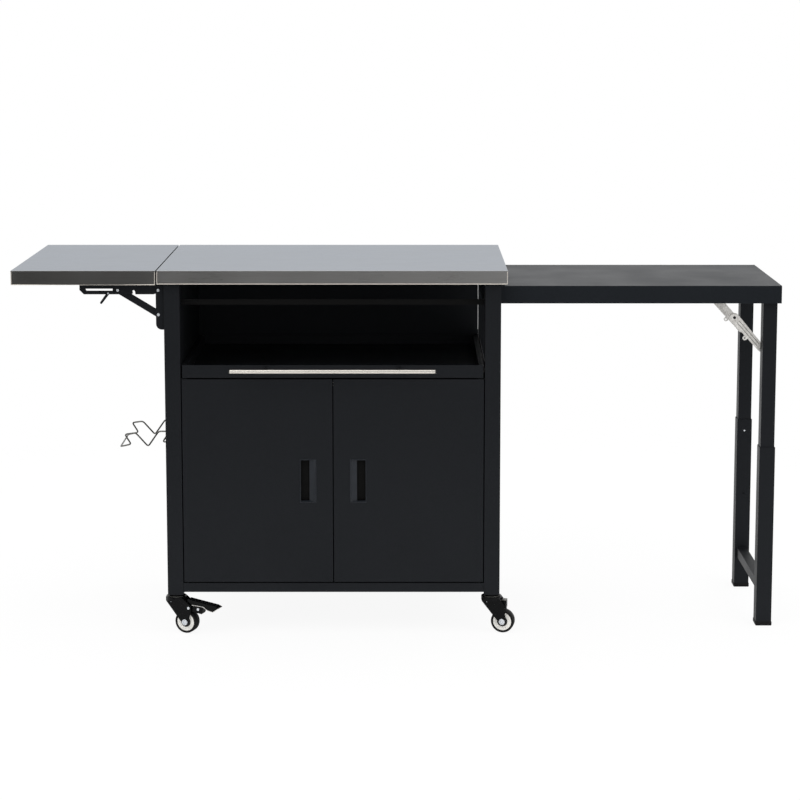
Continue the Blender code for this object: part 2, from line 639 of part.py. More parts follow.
def build_bracket_strut(word, y, finish):
    """The strut swings on the plate, and the sliding pin beside it runs in the arm's slot."""
    start = (STRUT_PIVOT.x, STRUT_PIVOT.z)
    end = (STRUT_PIN.x, STRUT_PIN.z)
    half = STRUT_THICK / 2
    strap = slab(strap_outline(start, end, STRUT_HALF, STRUT_HALF), y - half, y + half)
    hole = rod(
        (start[0], y - STRUT_THICK, start[1]), (start[0], y + STRUT_THICK, start[1]),
        BRACKET_PIN_RADIUS + FIT_GAP,
    )
    piece(f"{word}_bracket_strut", finish["black_steel"], strap, ("cut", hole), pivot=STRUT_PIVOT)
    arm_half = PLATE_HALF - BRACKET_STEEL - FIT_GAP
    back, front = y - half - FIT_GAP, y - arm_half + BRACKET_STEEL + FIT_GAP
    shoe = block(
        (STRUT_PIN.x - SLIDER_LENGTH / 2, front, STRUT_PIN.z - SLIDER_HEIGHT / 2),
        (STRUT_PIN.x + SLIDER_LENGTH / 2, back, STRUT_PIN.z + SLIDER_HEIGHT / 2),
    )
    pin = rod((STRUT_PIN.x, y - arm_half, STRUT_PIN.z), (STRUT_PIN.x, back, STRUT_PIN.z), BRACKET_PIN_RADIUS)
    piece(f"{word}_bracket_slider", finish["zinc"], shoe, ("join", pin), pivot=STRUT_PIN)


def build_bracket_lever(word, y, finish):
    """A small sprung lever on the arm's front side that frees the fold."""
    low = SHELF_LOW - FIT_GAP - ARM_HEIGHT
    centre = (SHELF_PIVOT.x - LEVER_OUT, low + LEVER_RISE)
    tip = (centre[0] - LEVER_TIP_OUT, centre[1] - LEVER_TIP_DROP)
    back = y - (PLATE_HALF - BRACKET_STEEL - FIT_GAP) - FIT_GAP
    blade = slab(strap_outline(centre, tip, LEVER_HALF, LEVER_HALF * 0.8), back - LEVER_THICK, back)
    hole = rod(
        (centre[0], back - 2 * LEVER_THICK, centre[1]), (centre[0], back + LEVER_THICK, centre[1]),
        BRACKET_PIN_RADIUS * 0.7 + FIT_GAP, 16,
    )
    pivot = (centre[0], y, centre[1])
    piece(f"{word}_bracket_lever", finish["black_steel"], blade, ("cut", hole), pivot=pivot)


def build_table(finish):
    """The pull-out table top, its brace ears, the rails that carry it and its guide blocks."""
    steel = finish["black_steel"]
    low = (TABLE_IN_X, TABLE_FRONT, TABLE_LOW)
    high = (TABLE_OUT_X, TABLE_BACK, TABLE_TOP)
    steps = list(pan_cuts(low, high, TABLE_HEM))
    pivot = (LEG_X, (LEG_Y[0] + LEG_Y[1]) / 2, LEG_PIVOT_Z)
    spot = BRACE_TABLE
    for y, inward in ((LEG_Y[0], 1), (LEG_Y[1], -1)):
        near, far = brace_layer(y, inward, 2)
        ear = block(
            (spot.x - BRACE_EAR_HALF, near, spot.z - BRACE_EAR_HALF),
            (spot.x + BRACE_EAR_HALF, far, TABLE_TOP - SHEET / 2),
        )
        pin_end = brace_layer(y, inward, 1)[0 if inward > 0 else 1]
        middle = (near + far) / 2
        pin = rod((spot.x, middle, spot.z), (spot.x, pin_end, spot.z), BRACE_PIN_RADIUS, 16)
        steps += [("join", ear), ("join", pin)]
    piece("table_top", steel, block(low, high), *steps)
    ledge = TABLE_LOW - FIT_GAP
    for word, face, inward, edge in (
        ("front", FRONT_POST_BACK, 1, TABLE_FRONT), ("rear", REAR_POST_Y, -1, TABLE_BACK),
    ):
        wall = face + inward * FIT_GAP
        tip = edge + inward * TABLE_HEM
        outline = [
            (wall, ledge - SHEET), (wall, ledge - SHEET + RAIL_FLANGE),
            (wall + inward * SHEET, ledge - SHEET + RAIL_FLANGE), (wall + inward * SHEET, ledge),
            (tip, ledge), (tip, ledge - SHEET),
        ]
        piece(f"{word}_table_rail", steel, slab(outline, -INSIDE_X, POST_OUT_X, "X"))
        a, b = sorted((wall + inward * (SHEET + FIT_GAP), edge - inward * FIT_GAP))
        guide_low = ledge + FIT_GAP
        guide = block(
            (TABLE_IN_X, a, guide_low), (TABLE_IN_X + GUIDE_LENGTH, b, guide_low + GUIDE_HEIGHT),
        )
        piece(f"{word}_table_guide", finish["nylon"], guide)
    for y, inward, word in ((LEG_Y[0], 1, "front"), (LEG_Y[1], -1, "rear")):
        a = y + inward * HINGE_FROM_LEG
        a, b = sorted((a, a + inward * HINGE_THICK))
        plate = block(
            (LEG_X - HINGE_WIDE / 2, a, LEG_PIVOT_Z - HINGE_WIDE / 2),
            (LEG_X + HINGE_WIDE / 2, b, TABLE_TOP - SHEET - FIT_GAP),
        )
        hole = rod(
            (LEG_X, a - SHEET, LEG_PIVOT_Z), (LEG_X, b + SHEET, LEG_PIVOT_Z), LEG_ROD_RADIUS + FIT_GAP,
        )
        piece(f"{word}_leg_hinge", finish["zinc"], plate, ("cut", hole), pivot=pivot)


def brace_layer(y, inward, layer):
    """Low and high Y of a brace layer beside the leg: 0 lower link, 1 upper link, 2 table ear."""
    start = LEG_SIZE / 2 + BRACE_FROM_LEG + layer * (BRACE_STEEL + FIT_GAP)
    return sorted((y + inward * start, y + inward * (start + BRACE_STEEL)))


def build_legs(finish):
    """The folding frame of two tubes on a cross rod, and the sleeves that lengthen it."""
    steel = finish["black_steel"]
    half, bore = LEG_SIZE / 2, LEG_SIZE / 2 - LEG_WALL
    top = LEG_PIVOT_Z + LEG_HEAD
    pivot = (LEG_X, (LEG_Y[0] + LEG_Y[1]) / 2, LEG_PIVOT_Z)
    ends = (TABLE_FRONT + SHEET + FIT_GAP, TABLE_BACK - SHEET - FIT_GAP)
    steps = []
    for y in LEG_Y:
        steps.append(("join", block((LEG_X - half, y - half, LEG_LOW), (LEG_X + half, y + half, top))))
        hollow = block((LEG_X - bore, y - bore, LEG_LOW - LEG_WALL), (LEG_X + bore, y + bore, top - LEG_WALL))
        steps.append(("cut", hollow))
    steps.append(("join", rod((LEG_X, ends[0], LEG_PIVOT_Z), (LEG_X, ends[1], LEG_PIVOT_Z), LEG_ROD_RADIUS)))
    for y, inward in ((LEG_Y[0], 1), (LEG_Y[1], -1)):
        pin_end = brace_layer(y, inward, 0)[1 if inward > 0 else 0]
        start = y + inward * (half - LEG_WALL / 2)
        spot = BRACE_LEG
        steps.append(("join", rod((spot.x, start, spot.z), (spot.x, pin_end, spot.z), BRACE_PIN_RADIUS, 16)))
        hole_end = (LEG_X, y + inward * (half + SHEET), LEG_HOLE_HIGH)
        steps.append(("cut", rod((LEG_X, y, LEG_HOLE_HIGH), hole_end, LEG_HOLE_RADIUS, 16)))
    base = rod((LEG_X, ends[0], LEG_PIVOT_Z), (LEG_X, ends[1], LEG_PIVOT_Z), LEG_ROD_RADIUS)
    piece("leg_frame", steel, base, *steps, pivot=pivot)
    for y, inward, word in ((LEG_Y[0], 1, "front"), (LEG_Y[1], -1, "rear")):
        build_sleeve(word, y, inward, finish)
    size = CROSSBAR_SIZE
    y0, y1 = LEG_Y[0] + SLEEVE_SIZE / 2 + FIT_GAP, LEG_Y[1] - SLEEVE_SIZE / 2 - FIT_GAP
    bar = block((LEG_X - size / 2, y0, CROSSBAR_TOP - size), (LEG_X + size / 2, y1, CROSSBAR_TOP))
    inside = block(
        (LEG_X - size / 2 + LEG_WALL, y0 - LEG_WALL, CROSSBAR_TOP - size + LEG_WALL),
        (LEG_X + size / 2 - LEG_WALL, y1 + LEG_WALL, CROSSBAR_TOP - LEG_WALL),
    )
    piece("leg_crossbar", steel, bar, ("cut", inside))


def build_sleeve(word, y, inward, finish):
    """The outer tube of a leg: closed at the foot, with two button holes on its inner side."""
    half, bore = SLEEVE_SIZE / 2, SLEEVE_SIZE / 2 - SLEEVE_WALL
    base = block((LEG_X - half, y - half, 0), (LEG_X + half, y + half, SLEEVE_TOP))
    hollow = block(
        (LEG_X - bore, y - bore, SLEEVE_FOOT), (LEG_X + bore, y + bore, SLEEVE_TOP + SLEEVE_WALL),
    )
    holes = [
        ("cut", rod((LEG_X, y, z), (LEG_X, y + inward * (half + SHEET), z), LEG_HOLE_RADIUS, 16))
        for z in (LEG_HOLE_HIGH, LEG_HOLE_LOW)
    ]
    piece(f"{word}_leg_sleeve", finish["black_steel"], base, ("cut", hollow), *holes)


def build_braces(finish):
    """Two-link braces that lock the legs: the upper link on the table, the lower one on the leg."""
    hole = BRACE_PIN_RADIUS + FIT_GAP
    table, elbow, leg = [(spot.x, spot.z) for spot in (BRACE_TABLE, BRACE_ELBOW, BRACE_LEG)]
    along = (BRACE_LEG - BRACE_TABLE).normalized()
    root = BRACE_LEG - along * BRACE_TAB_ALONG
    tab = root + Vector((along.z, 0, -along.x)) * (BRACE_HALF + BRACE_TAB_OUT)
    for y, inward, word in ((LEG_Y[0], 1, "front"), (LEG_Y[1], -1, "rear")):
        near, far = brace_layer(y, inward, 1)
        link = slab(strap_outline(table, elbow, BRACE_UPPER_HALF, BRACE_UPPER_HALF), near, far)
        bore = rod((table[0], near - SHEET, table[1]), (table[0], far + SHEET, table[1]), hole, 16)
        piece(f"{word}_brace_upper", finish["zinc"], link, ("cut", bore), pivot=BRACE_TABLE)
        near, far = brace_layer(y, inward, 0)
        link = slab(strap_outline(elbow, leg, BRACE_ELBOW_HALF, BRACE_HALF), near, far)
        bore = rod((leg[0], near - SHEET, leg[1]), (leg[0], far + SHEET, leg[1]), hole, 16)
        neck = strap_outline((root.x, root.z), (tab.x, tab.z), BRACE_TAB_RADIUS, BRACE_TAB_RADIUS)
        ear = slab(neck, near, far)
        eye = rod((tab.x, near - SHEET, tab.z), (tab.x, far + SHEET, tab.z), BRACE_TAB_RADIUS * 0.36, 16)
        piece(
            f"{word}_brace_lower", finish["zinc"], link,
            ("cut", bore), ("join", ear), ("cut", eye), pivot=BRACE_LEG,
        )


def rounded_path(points, radius, steps=4):
    """The points with each corner replaced by a short curve of about that radius."""
    path = [points[0]]
    for before, corner, after in zip(points, points[1:], points[2:]):
        reach = min(radius, (before - corner).length / 2.2, (after - corner).length / 2.2)
        start = corner + (before - corner).normalized() * reach
        end = corner + (after - corner).normalized() * reach
        for step in range(steps + 1):
            t = step / steps
            path.append(start * (1 - t) ** 2 + corner * 2 * t * (1 - t) + end * t ** 2)
    path.append(points[-1])
    return path


def build_rack(finish):
    """One bent wire: out along the front row of hooks, across, and back along the rear row."""
    wall_x = -POST_IN_X - SHEET - FIT_GAP
    rows = []
    for y in (RACK_FRONT, RACK_FRONT + RACK_PITCH):
        row = [Vector((wall_x, y, RACK_HEIGHT + RACK_RISE * RACK_STEPS[0][1]))]
        row += [
            Vector((-POST_OUT_X - RACK_REACH * out, y, RACK_HEIGHT + RACK_RISE * up))
            for out, up in RACK_STEPS
        ]
        rows.append(row)
    path = rounded_path(rows[0] + rows[1][::-1], RACK_BEND_RADIUS)
    curve = bpy.data.curves.new("tool_rack", "CURVE")
    curve.dimensions = "3D"
    curve.bevel_depth = RACK_WIRE_RADIUS
    curve.bevel_resolution = 2
    curve.use_fill_caps = True
    line = curve.splines.new("POLY")
    line.points.add(len(path) - 1)
    for point, place in zip(line.points, path):
        point.co = (*place, 1)
    curve.materials.append(finish["wire"])
    rack = bpy.data.objects.new("tool_rack", curve)
    rack.location = -ORIGIN
    bpy.context.scene.collection.objects.link(rack)


def caster_matrix(place):
    """From a caster's own frame, with its trail along X, to the cart's coordinates."""
    x, y, turn = place
    return Matrix.Translation((x, y, 0)) @ Matrix.Rotation(radians(turn), 4, "Z")


def build_fork(word, matrix, finish, braked):
    """The swivel head with two cheeks and the axle between them."""
    pivot = matrix @ Vector((0, 0, CASTER_HEIGHT))
    top = CASTER_HEIGHT - FIT_GAP
    cap_top = top - SWIVEL_CAP_DROP
    cap_low = cap_top - SWIVEL_CAP_DEEP
    axle = (CASTER_TRAIL, AXLE_Z)
    foot = CHEEK_FOOT
    shoulder = SWIVEL_CAP_RADIUS * 0.85
    nose = (PEDAL_PIN_OUT if braked else CASTER_TRAIL) + foot * 0.7
    outline = [
        (-shoulder, cap_top - SHEET), (shoulder, cap_top - SHEET),
        (nose, PEDAL_PIN_RISE + foot / 2), (nose, PEDAL_PIN_RISE - foot / 2),
        (axle[0] + foot, axle[1]), (axle[0] + foot * 0.7, axle[1] - foot * 0.7),
        (axle[0], axle[1] - foot), (axle[0] - foot * 0.7, axle[1] - foot * 0.7),
        (axle[0] - foot, axle[1]), (-shoulder, cap_low - SHEET),
    ]
    head = rod((0, 0, cap_top - SHEET), (0, 0, top), SWIVEL_RADIUS)
    steps = [("join", rod((0, 0, cap_low), (0, 0, cap_top), SWIVEL_CAP_RADIUS))]
    for side in (-1, 1):
        a, b = sorted((side * CHEEK_IN, side * (CHEEK_IN + CHEEK_THICK)))
        steps.append(("join", slab(outline, a, b)))
    reach = CHEEK_IN + CHEEK_THICK
    tip = reach + SHEET
    steps.append(("join", rod((axle[0], -tip, axle[1]), (axle[0], tip, axle[1]), AXLE_RADIUS)))
    if braked:
        spot = (PEDAL_PIN_OUT, PEDAL_PIN_RISE)
        pin = rod((spot[0], -reach, spot[1]), (spot[0], reach, spot[1]), AXLE_RADIUS * 0.7, 16)
        steps.append(("join", pin))
    steps = [(kind, moved(shape, matrix)) for kind, shape in steps]
    piece(f"{word}_caster_fork", finish["black_steel"], moved(head, matrix), *steps, pivot=pivot)


def build_wheel(word, matrix, finish):
    """A rim that turns on the axle and the tyre round it."""
    centre = (CASTER_TRAIL, 0, AXLE_Z)
    pivot = matrix @ Vector(centre)
    half, tyre = RIM_WIDTH / 2, WHEEL_WIDTH / 2
    bore, web = AXLE_RADIUS + FIT_GAP, RIM_RADIUS * 0.8
    rim = ((bore, -half), (bore, half), (bore * 1.9, half), (bore * 2.1, half * 0.6),
           (web, half * 0.6), (web * 1.05, half), (RIM_RADIUS, half), (RIM_RADIUS, -half),
           (web * 1.05, -half), (web, -half * 0.6), (bore * 2.1, -half * 0.6), (bore * 1.9, -half))
    piece(f"{word}_caster_rim", finish["rim"], moved(ring(rim, centre), matrix), pivot=pivot)
    inner, crown = RIM_RADIUS + FIT_GAP, WHEEL_RADIUS
    shoulder = crown - (crown - inner) * 0.35
    band = ((inner, -tyre), (inner, tyre), (shoulder, tyre), (crown - SHEET / 2, tyre * 0.7),
            (crown, tyre * 0.35), (crown, -tyre * 0.35), (crown - SHEET / 2, -tyre * 0.7), (shoulder, -tyre))
    piece(f"{word}_caster_tyre", finish["rubber"], moved(ring(band, centre), matrix), pivot=pivot)


def build_pedal(word, matrix, finish):
    """The brake pedal: a sloping tread on a neck that turns on the fork's cross pin."""
    x, z = PEDAL_PIN_OUT, PEDAL_PIN_RISE
    boss = AXLE_RADIUS * 1.5
    outline = [
        (x - boss, z - boss), (x + 1.25 * boss, z - 1.5 * boss), (x + 5.5 * boss, z - 2.2 * boss),
        (x + 6.5 * boss, z + 0.6 * boss), (x + 8.2 * boss, z - 0.35 * boss),
        (PEDAL_REACH - 2.7 * boss, z - 0.9 * boss), (PEDAL_REACH, z + boss),
        (PEDAL_REACH - 1.5 * boss, z + 1.65 * boss), (x - 0.8 * boss, z + 3.4 * boss),
    ]
    body = slab(outline, -PEDAL_HALF, PEDAL_HALF)
    bore = rod((x, -2 * PEDAL_HALF, z), (x, 2 * PEDAL_HALF, z), AXLE_RADIUS * 0.7 + FIT_GAP, 16)
    pivot = matrix @ Vector((x, 0, z))
    piece(f"{word}_brake_pedal", finish["black_steel"], moved(body, matrix), ("cut", moved(bore, matrix)),
          pivot=pivot)


def build_casters(finish):
    for word, place in CASTER_PLACES.items():
        matrix = caster_matrix(place)
        braked = word.endswith("left")
        build_fork(word, matrix, finish, braked)
        build_wheel(word, matrix, finish)
        if braked:
            build_pedal(word, matrix, finish)


def main():
    clear_scene()
    finish = make_finishes()
    build_worktop(finish)
    build_posts(finish)
    build_cabinet(finish)
    build_door(-1, "left", finish)
    build_door(1, "right", finish)
    build_tray(finish)
    build_shelf(finish)
    for word, y in zip(("front", "rear"), BRACKET_Y):
        build_bracket(word, y, finish)
    build_table(finish)
    build_legs(finish)
    build_braces(finish)
    build_rack(finish)
    build_casters(finish)


main()
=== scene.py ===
"""The looks of a grill cart: a finish for every sheet, tube and moulding, and the rivets, screws,
hems, caps and wheels that its frame leaves out."""

import json
from math import cos, pi, radians, sin

import bmesh
import bpy
from bpy.props import FloatProperty, FloatVectorProperty, PointerProperty
from bpy.types import Operator, Panel, PropertyGroup
from mathutils import Matrix, Vector


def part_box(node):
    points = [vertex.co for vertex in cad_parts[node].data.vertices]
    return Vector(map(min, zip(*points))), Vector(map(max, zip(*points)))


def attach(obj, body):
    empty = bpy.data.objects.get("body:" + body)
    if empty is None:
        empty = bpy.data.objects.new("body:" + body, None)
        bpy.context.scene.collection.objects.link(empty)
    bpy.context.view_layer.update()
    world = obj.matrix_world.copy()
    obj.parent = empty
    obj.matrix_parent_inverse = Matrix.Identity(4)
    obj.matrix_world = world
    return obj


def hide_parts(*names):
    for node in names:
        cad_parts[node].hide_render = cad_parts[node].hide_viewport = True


bl_info = {
    "name": "Grill Cart",
    "version": (1, 0, 0),
    "blender": (4, 5, 0),
    "location": "3D View > Sidebar > Grill Cart",
    "description": "Finishes a steel grill cart with a folding shelf and a pull-out table",
    "category": "Object",
}

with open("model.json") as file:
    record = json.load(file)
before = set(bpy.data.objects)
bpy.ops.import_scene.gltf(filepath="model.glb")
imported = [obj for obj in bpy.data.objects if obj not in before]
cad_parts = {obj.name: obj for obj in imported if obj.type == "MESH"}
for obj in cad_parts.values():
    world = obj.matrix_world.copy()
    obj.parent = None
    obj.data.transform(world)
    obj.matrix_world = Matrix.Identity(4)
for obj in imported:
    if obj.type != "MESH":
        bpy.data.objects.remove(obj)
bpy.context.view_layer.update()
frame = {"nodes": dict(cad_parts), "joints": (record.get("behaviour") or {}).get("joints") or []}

MM = 0.001
SIDES = ("left", "right")
ENDS = ("front", "rear")
CASTERS = [f"{end}_{side}" for end in ENDS for side in SIDES]
WHITE = (1, 1, 1, 1)


def to_linear(hex_colour):
    """Linear red, green, blue and alpha from an sRGB hex value, by the numbers of that standard."""
    channels = [int(hex_colour[i:i + 2], 16) / 255 for i in (1, 3, 5)]
    return (*[c / 12.92 if c <= 0.04045 else ((c + 0.055) / 1.055) ** 2.4 for c in channels], 1.0)


def swatch(name, description, hex_colour):
    return FloatVectorProperty(
        name=name, description=description, subtype="COLOR", size=4, min=0, max=1,
        default=to_linear(hex_colour),
    )


def length(name, description, millimetres):
    return FloatProperty(
        name=name, description=description, unit="LENGTH", subtype="DISTANCE", min=0,
        default=millimetres * MM, precision=5,
    )


class CartColours(PropertyGroup):
    """Colours of the cart's finishes."""

    stainless: swatch("Stainless", "Brushed worktop and shelf", "#b7b6b4")
    stainless_streak: swatch("Stainless streak", "Darker lines in the brushing", "#aeadac")
    # Painted shade: a darker copy of the stainless on the shelf's front, for the dark floor that it
    # reflects.
    stainless_painted_shade: swatch("Dulled stainless", "The shelf's apron", "#959492")
    stainless_glance: swatch("Stainless glance", "Tint of the sheet at a low angle", "#d0d7e1")
    # Painted highlight: the hems are paler than the sheet itself.
    hem: swatch("Hem", "Ground sheet edges", "#e2dbd1")
    coat: swatch("Powder coat", "Black steelwork", "#0d0e10")
    coat_fleck: swatch("Powder coat fleck", "Raised grain of the coat", "#141517")
    top_coat: swatch("Table coat", "Smoother coat of the table", "#121518")
    top_fleck: swatch("Table coat fleck", "Raised grain of the table's coat", "#191c20")
    coat_glance: swatch("Powder coat glance", "Tint of the coat's sheen", "#e2e9f4")
    paint: swatch("Caster paint", "Forks and pedals", "#050506")
    # Painted shade: near black for the table rails and the pulls' slots, where there is shadow.
    painted_shade_black: swatch("Blackened steel", "Table rails inside the cart", "#070707")
    zinc: swatch("Zinc", "Braces, hinges and runners", "#f4f2ee")
    zinc_cloud: swatch("Zinc cloud", "Duller patches of the plating", "#c9c6c1")
    bolt: swatch("Bolt", "Axle bolts, rivets and snap buttons", "#f2f4f6")
    nickel: swatch("Nickel", "Handle bar", "#e9e4dc")
    wire: swatch("Wire", "Tool rack", "#7c7c78")
    nylon: swatch("Nylon", "Guides, catch and caps", "#0f1113")
    slate: swatch("Slate nylon", "Door pulls", "#1f2329")
    rim: swatch("Rim", "Moulded wheel centres", "#f7f5ef")
    rubber: swatch("Rubber", "Tyres and feet", "#0d0d0e")
    floor: swatch("Floor", "Studio floor", "#fdfdfd")


class CartSizes(PropertyGroup):
    """Sizes of the small parts and of the patterns in the finishes."""

    brush_pitch: length("Brush pitch", "Spacing of the lines in the stainless", 1.1)
    brush_length: length("Brush length", "Length of the lines in the stainless", 90)
    coat_grain: length("Coat grain", "Grain of the powder coat, drawn coarse so that it shows", 1.3)
    edge_radius: length("Edge radius", "Rounding of folded sheet edges", 0.6)
    hem_radius: length("Hem radius", "Half thickness of the folded hems", 1.2)
    hem_proud: length("Hem proud", "How far a front hem stands out of its apron", 0.7)
    rivet_radius: length("Rivet radius", "Heads of the bracket rivets", 3.6)
    rivet_height: length("Rivet height", "Rise of a rivet head", 1.5)
    screw_radius: length("Screw radius", "Heads of the panel screws", 3.4)
    screw_height: length("Screw height", "Rise of a screw head", 1.6)
    screw_inset: length("Screw inset", "From a panel's edge to its screws", 11)
    button_radius: length("Button radius", "Snap buttons of the telescopic legs", 3.1)
    button_height: length("Button height", "Rise of a button out of its leg tube", 4.2)
    foot_height: length("Foot height", "Height of the rubber feet on the legs", 11)
    foot_wall: length("Foot wall", "Thickness of the feet round the tubes", 1.2)
    collar_radius: length("Collar radius", "Collars of the tray handle's posts", 6.5)
    lip: length("Pull lip", "Frame round a door pull", 2.2)
    bolt_radius: length("Bolt radius", "Half the width of an axle bolt across its corners", 6.7)
    bolt_height: length("Bolt height", "Height of an axle bolt's head", 4.0)


def colours():
    return bpy.context.scene.cart_colours


def sizes():
    return bpy.context.scene.cart_sizes


def fill_inputs(tree, node, inputs):
    """Sets a node's inputs, and links those whose value is another node's socket."""
    for key, value in inputs.items():
        if isinstance(value, bpy.types.NodeSocket):
            tree.links.new(value, node.inputs[key])
        else:
            node.inputs[key].default_value = value


def add_node(tree, kind, settings=None, inputs=None):
    """Adds a shader node with its settings, its values and its links."""
    node = tree.nodes.new(kind)
    for key, value in (settings or {}).items():
        setattr(node, key, value)
    fill_inputs(tree, node, inputs or {})
    return node


def start_material(name, constants):
    """A material with these constants on its shader's own sockets. Returns it, its tree and shader."""
    material = bpy.data.materials.new(name)
    material.use_nodes = True
    tree = material.node_tree
    shader = tree.nodes["Principled BSDF"]
    fill_inputs(tree, shader, constants)
    return material, tree, shader


def dress(tree, shader, roughness, share, pair, height, relief, strength):
    """Gives a shader its roughness, a share of the second colour of a pair, and a relief of so many
    millimetres, or none."""
    mixed = add_node(tree, "ShaderNodeMix", {"data_type": "RGBA"}, {0: share, 6: pair[0], 7: pair[1]})
    fill_inputs(tree, shader, {"Roughness": roughness, "Base Color": mixed.outputs[2]})
    if relief:
        raised = add_node(tree, "ShaderNodeBump", inputs={
            "Height": height, "Distance": relief * MM, "Strength": strength,
        })
        fill_inputs(tree, shader, {"Normal": raised.outputs["Normal"]})


# Most of a noise pattern's factor lies in this span, which is spread over the values wanted.
NOISE_SPAN = {"From Min": 0.3, "From Max": 0.7}


def mottled(name, constants, pair, roughness, patterns, shade=0, most=1.0, relief=0.0, strength=0.3):
    """A finish of one or two noise patterns, each the width of its features in millimetres and its detail.
    The first shifts the roughness, the one numbered shade mixes in up to most of the second colour,
    and the last raises the relief."""
    material, tree, shader = start_material(name, constants)
    here = add_node(tree, "ShaderNodeTexCoord").outputs["Object"]
    factors = [
        add_node(tree, "ShaderNodeTexNoise", inputs={
            "Vector": here, "Scale": 1 / (width * MM), "Detail": detail,
        }).outputs["Fac"] for width, detail in patterns
    ]
    gloss, share = [
        add_node(tree, "ShaderNodeMapRange", inputs={
            "Value": factor, **NOISE_SPAN, "To Min": low, "To Max": high,
        }).outputs["Result"] for factor, low, high in ((factors[0], *roughness), (factors[shade], 0.0, most))
    ]
    dress(tree, shader, gloss, share, pair, factors[-1], relief, strength)
    return material


END_FACE = 0.7
SMEAR_WIDTH = 111.1 * MM


def brushed_sheet(name, main, streak):
    """Sheet brushed along its length, and along its depth on its ends: fine soft lines, a satin sheen
    and faint smears. The lines are drawn coarser than real brushing, so that they show."""
    material, tree, shader = start_material(name, {
        "Metallic": 1.0, "Specular Tint": colours().stainless_glance,
    })
    here = add_node(tree, "ShaderNodeTexCoord").outputs
    across, along = 1 / sizes().brush_pitch, 1 / sizes().brush_length
    lines, end_lines = [
        add_node(tree, "ShaderNodeMapping", inputs={"Vector": here["Object"], "Scale": scale}).outputs[0]
        for scale in ((along, across, across), (across, along, across))
    ]
    facing_x = add_node(tree, "ShaderNodeSeparateXYZ", inputs={"Vector": here["Normal"]}).outputs["X"]
    sideways = add_node(tree, "ShaderNodeMath", {"operation": "ABSOLUTE"}, {0: facing_x})
    is_end = add_node(tree, "ShaderNodeMath", {"operation": "GREATER_THAN"}, {
        0: sideways.outputs[0], 1: END_FACE,
    })
    route = add_node(tree, "ShaderNodeMix", {"data_type": "VECTOR"}, {
        0: is_end.outputs[0], 4: lines, 5: end_lines,
    })
    streaks, smears = [
        add_node(tree, "ShaderNodeTexNoise", inputs={
            "Vector": vector, "Scale": scale, "Detail": detail,
        }).outputs["Fac"] for vector, scale, detail in (
            (route.outputs[1], 1.0, 4.0), (here["Object"], 1 / SMEAR_WIDTH, 3.0),
        )
    ]
    satin, smudge, share = [
        add_node(tree, "ShaderNodeMapRange", inputs={
            "Value": factor, **NOISE_SPAN, "To Min": low, "To Max": high,
        }).outputs["Result"] for factor, low, high in (
            (streaks, 0.26, 0.32), (smears, 0.0, 0.04), (streaks, 0.0, 1.0),
        )
    ]
    roughness = add_node(tree, "ShaderNodeMath", {"operation": "ADD"}, {0: satin, 1: smudge}).outputs[0]
    dress(tree, shader, roughness, share, (main, streak), streaks, relief=0.02, strength=0.25)
    return material


def brushed_stainless_sheet(name):
    """Worktop and shelf: pale brushed stainless, with the lines of the brushing along it."""
    return brushed_sheet(name, colours().stainless, colours().stainless_streak)


def painted_shade_stainless_sheet(name):
    """The shelf's front, which leans a touch: a darker copy of the brushed stainless, painted shade for the
    dark of the floor that it reflects.
    """
    return brushed_sheet(name, colours().stainless_painted_shade, to_linear("#8d8c8a"))


def hem_painted_highlight(name):
    """The sheet's edges and folded hems: warmer and brighter than the brushed faces and partly diffuse, a
    painted highlight for the light that the folds catch.
    """
    pair = colours().hem, to_linear("#c6c0b7")
    return mottled(name, {"Metallic": 0.55}, pair, (0.30, 0.46), [(2.5, 2.0)], most=0.5)


def powder_coat(name, pair, gloss, roughness, coarse=1.0):
    """Baked powder on steel: near black, with an even grain that breaks up its sheen, and broad patches
    that handling has polished a little."""
    constants = {"Specular IOR Level": gloss, "Specular Tint": colours().coat_glance}
    grain = sizes().coat_grain / MM * coarse
    return mottled(name, constants, pair, roughness, [(142.86, 3.0), (grain, 2.0)], shade=1, relief=0.10)


def satin_black_powder_coat(name):
    """The cabinet, posts and legs: an even, soft black."""
    pair = colours().coat, colours().coat_fleck
    return powder_coat(name, pair, 0.25, (0.46, 0.56))


def smooth_black_powder_coat(name):
    """The table top, whose coat lies smoother and shows a soft sheen at a low angle."""
    pair = colours().top_coat, colours().top_fleck
    return powder_coat(name, pair, 0.20, (0.42, 0.50), coarse=1.6)


def gloss_black_paint(name):
    """Dipped gloss paint on the casters' pressings: deep black with small sharp lights."""
    pair, constants = (colours().paint, to_linear("#08090a")), {"Specular IOR Level": 0.12}
    return mottled(name, constants, pair, (0.20, 0.30), [(8.333, 2.0)], relief=0.08)


def painted_shade_steel(name):
    """Rails inside the cart and the depth of the pulls' slots: a dull near black, painted shade that stands
    in for the shadow there.
    """
    pair, constants = (colours().painted_shade_black, to_linear("#0b0b0b")), {"Specular IOR Level": 0.12}
    return mottled(name, constants, pair, (0.62, 0.78), [(16.667, 3.0)])


def plated(name, metal, pair, roughness, cloud):
    """A thin plating whose lustre and colour drift in clouds of so many millimetres."""
    return mottled(name, {"Metallic": metal}, pair, roughness, [(cloud, 3.0)], relief=0.01)


def cloudy_zinc_plate(name):
    """Barrel-plated zinc pressings: pale, warm and cloudy, more matt than mirror."""
    return plated(name, 0.25, (colours().zinc, colours().zinc_cloud), (0.34, 0.50), 6.667)


def blue_zinc_fastener(name):
    """Bolts, rivets and snap buttons with a blue passivated zinc: near white, with a cold glint."""
    return plated(name, 0.6, (colours().bolt, to_linear("#cfd5dc")), (0.24, 0.34), 3.333)


def satin_nickel_plate(name):
    """The nickel plated handle bar: warmer than the zinc and evenly satin."""
    return plated(name, 0.85, (colours().nickel, to_linear("#e4dfd6")), (0.24, 0.28), 83.33)


def dull_plated_wire(name):
    """The rack's wire: an olive grey plating that takes long soft lights."""
    return plated(name, 1.0, (colours().wire, to_linear("#575753")), (0.26, 0.40), 22.22)


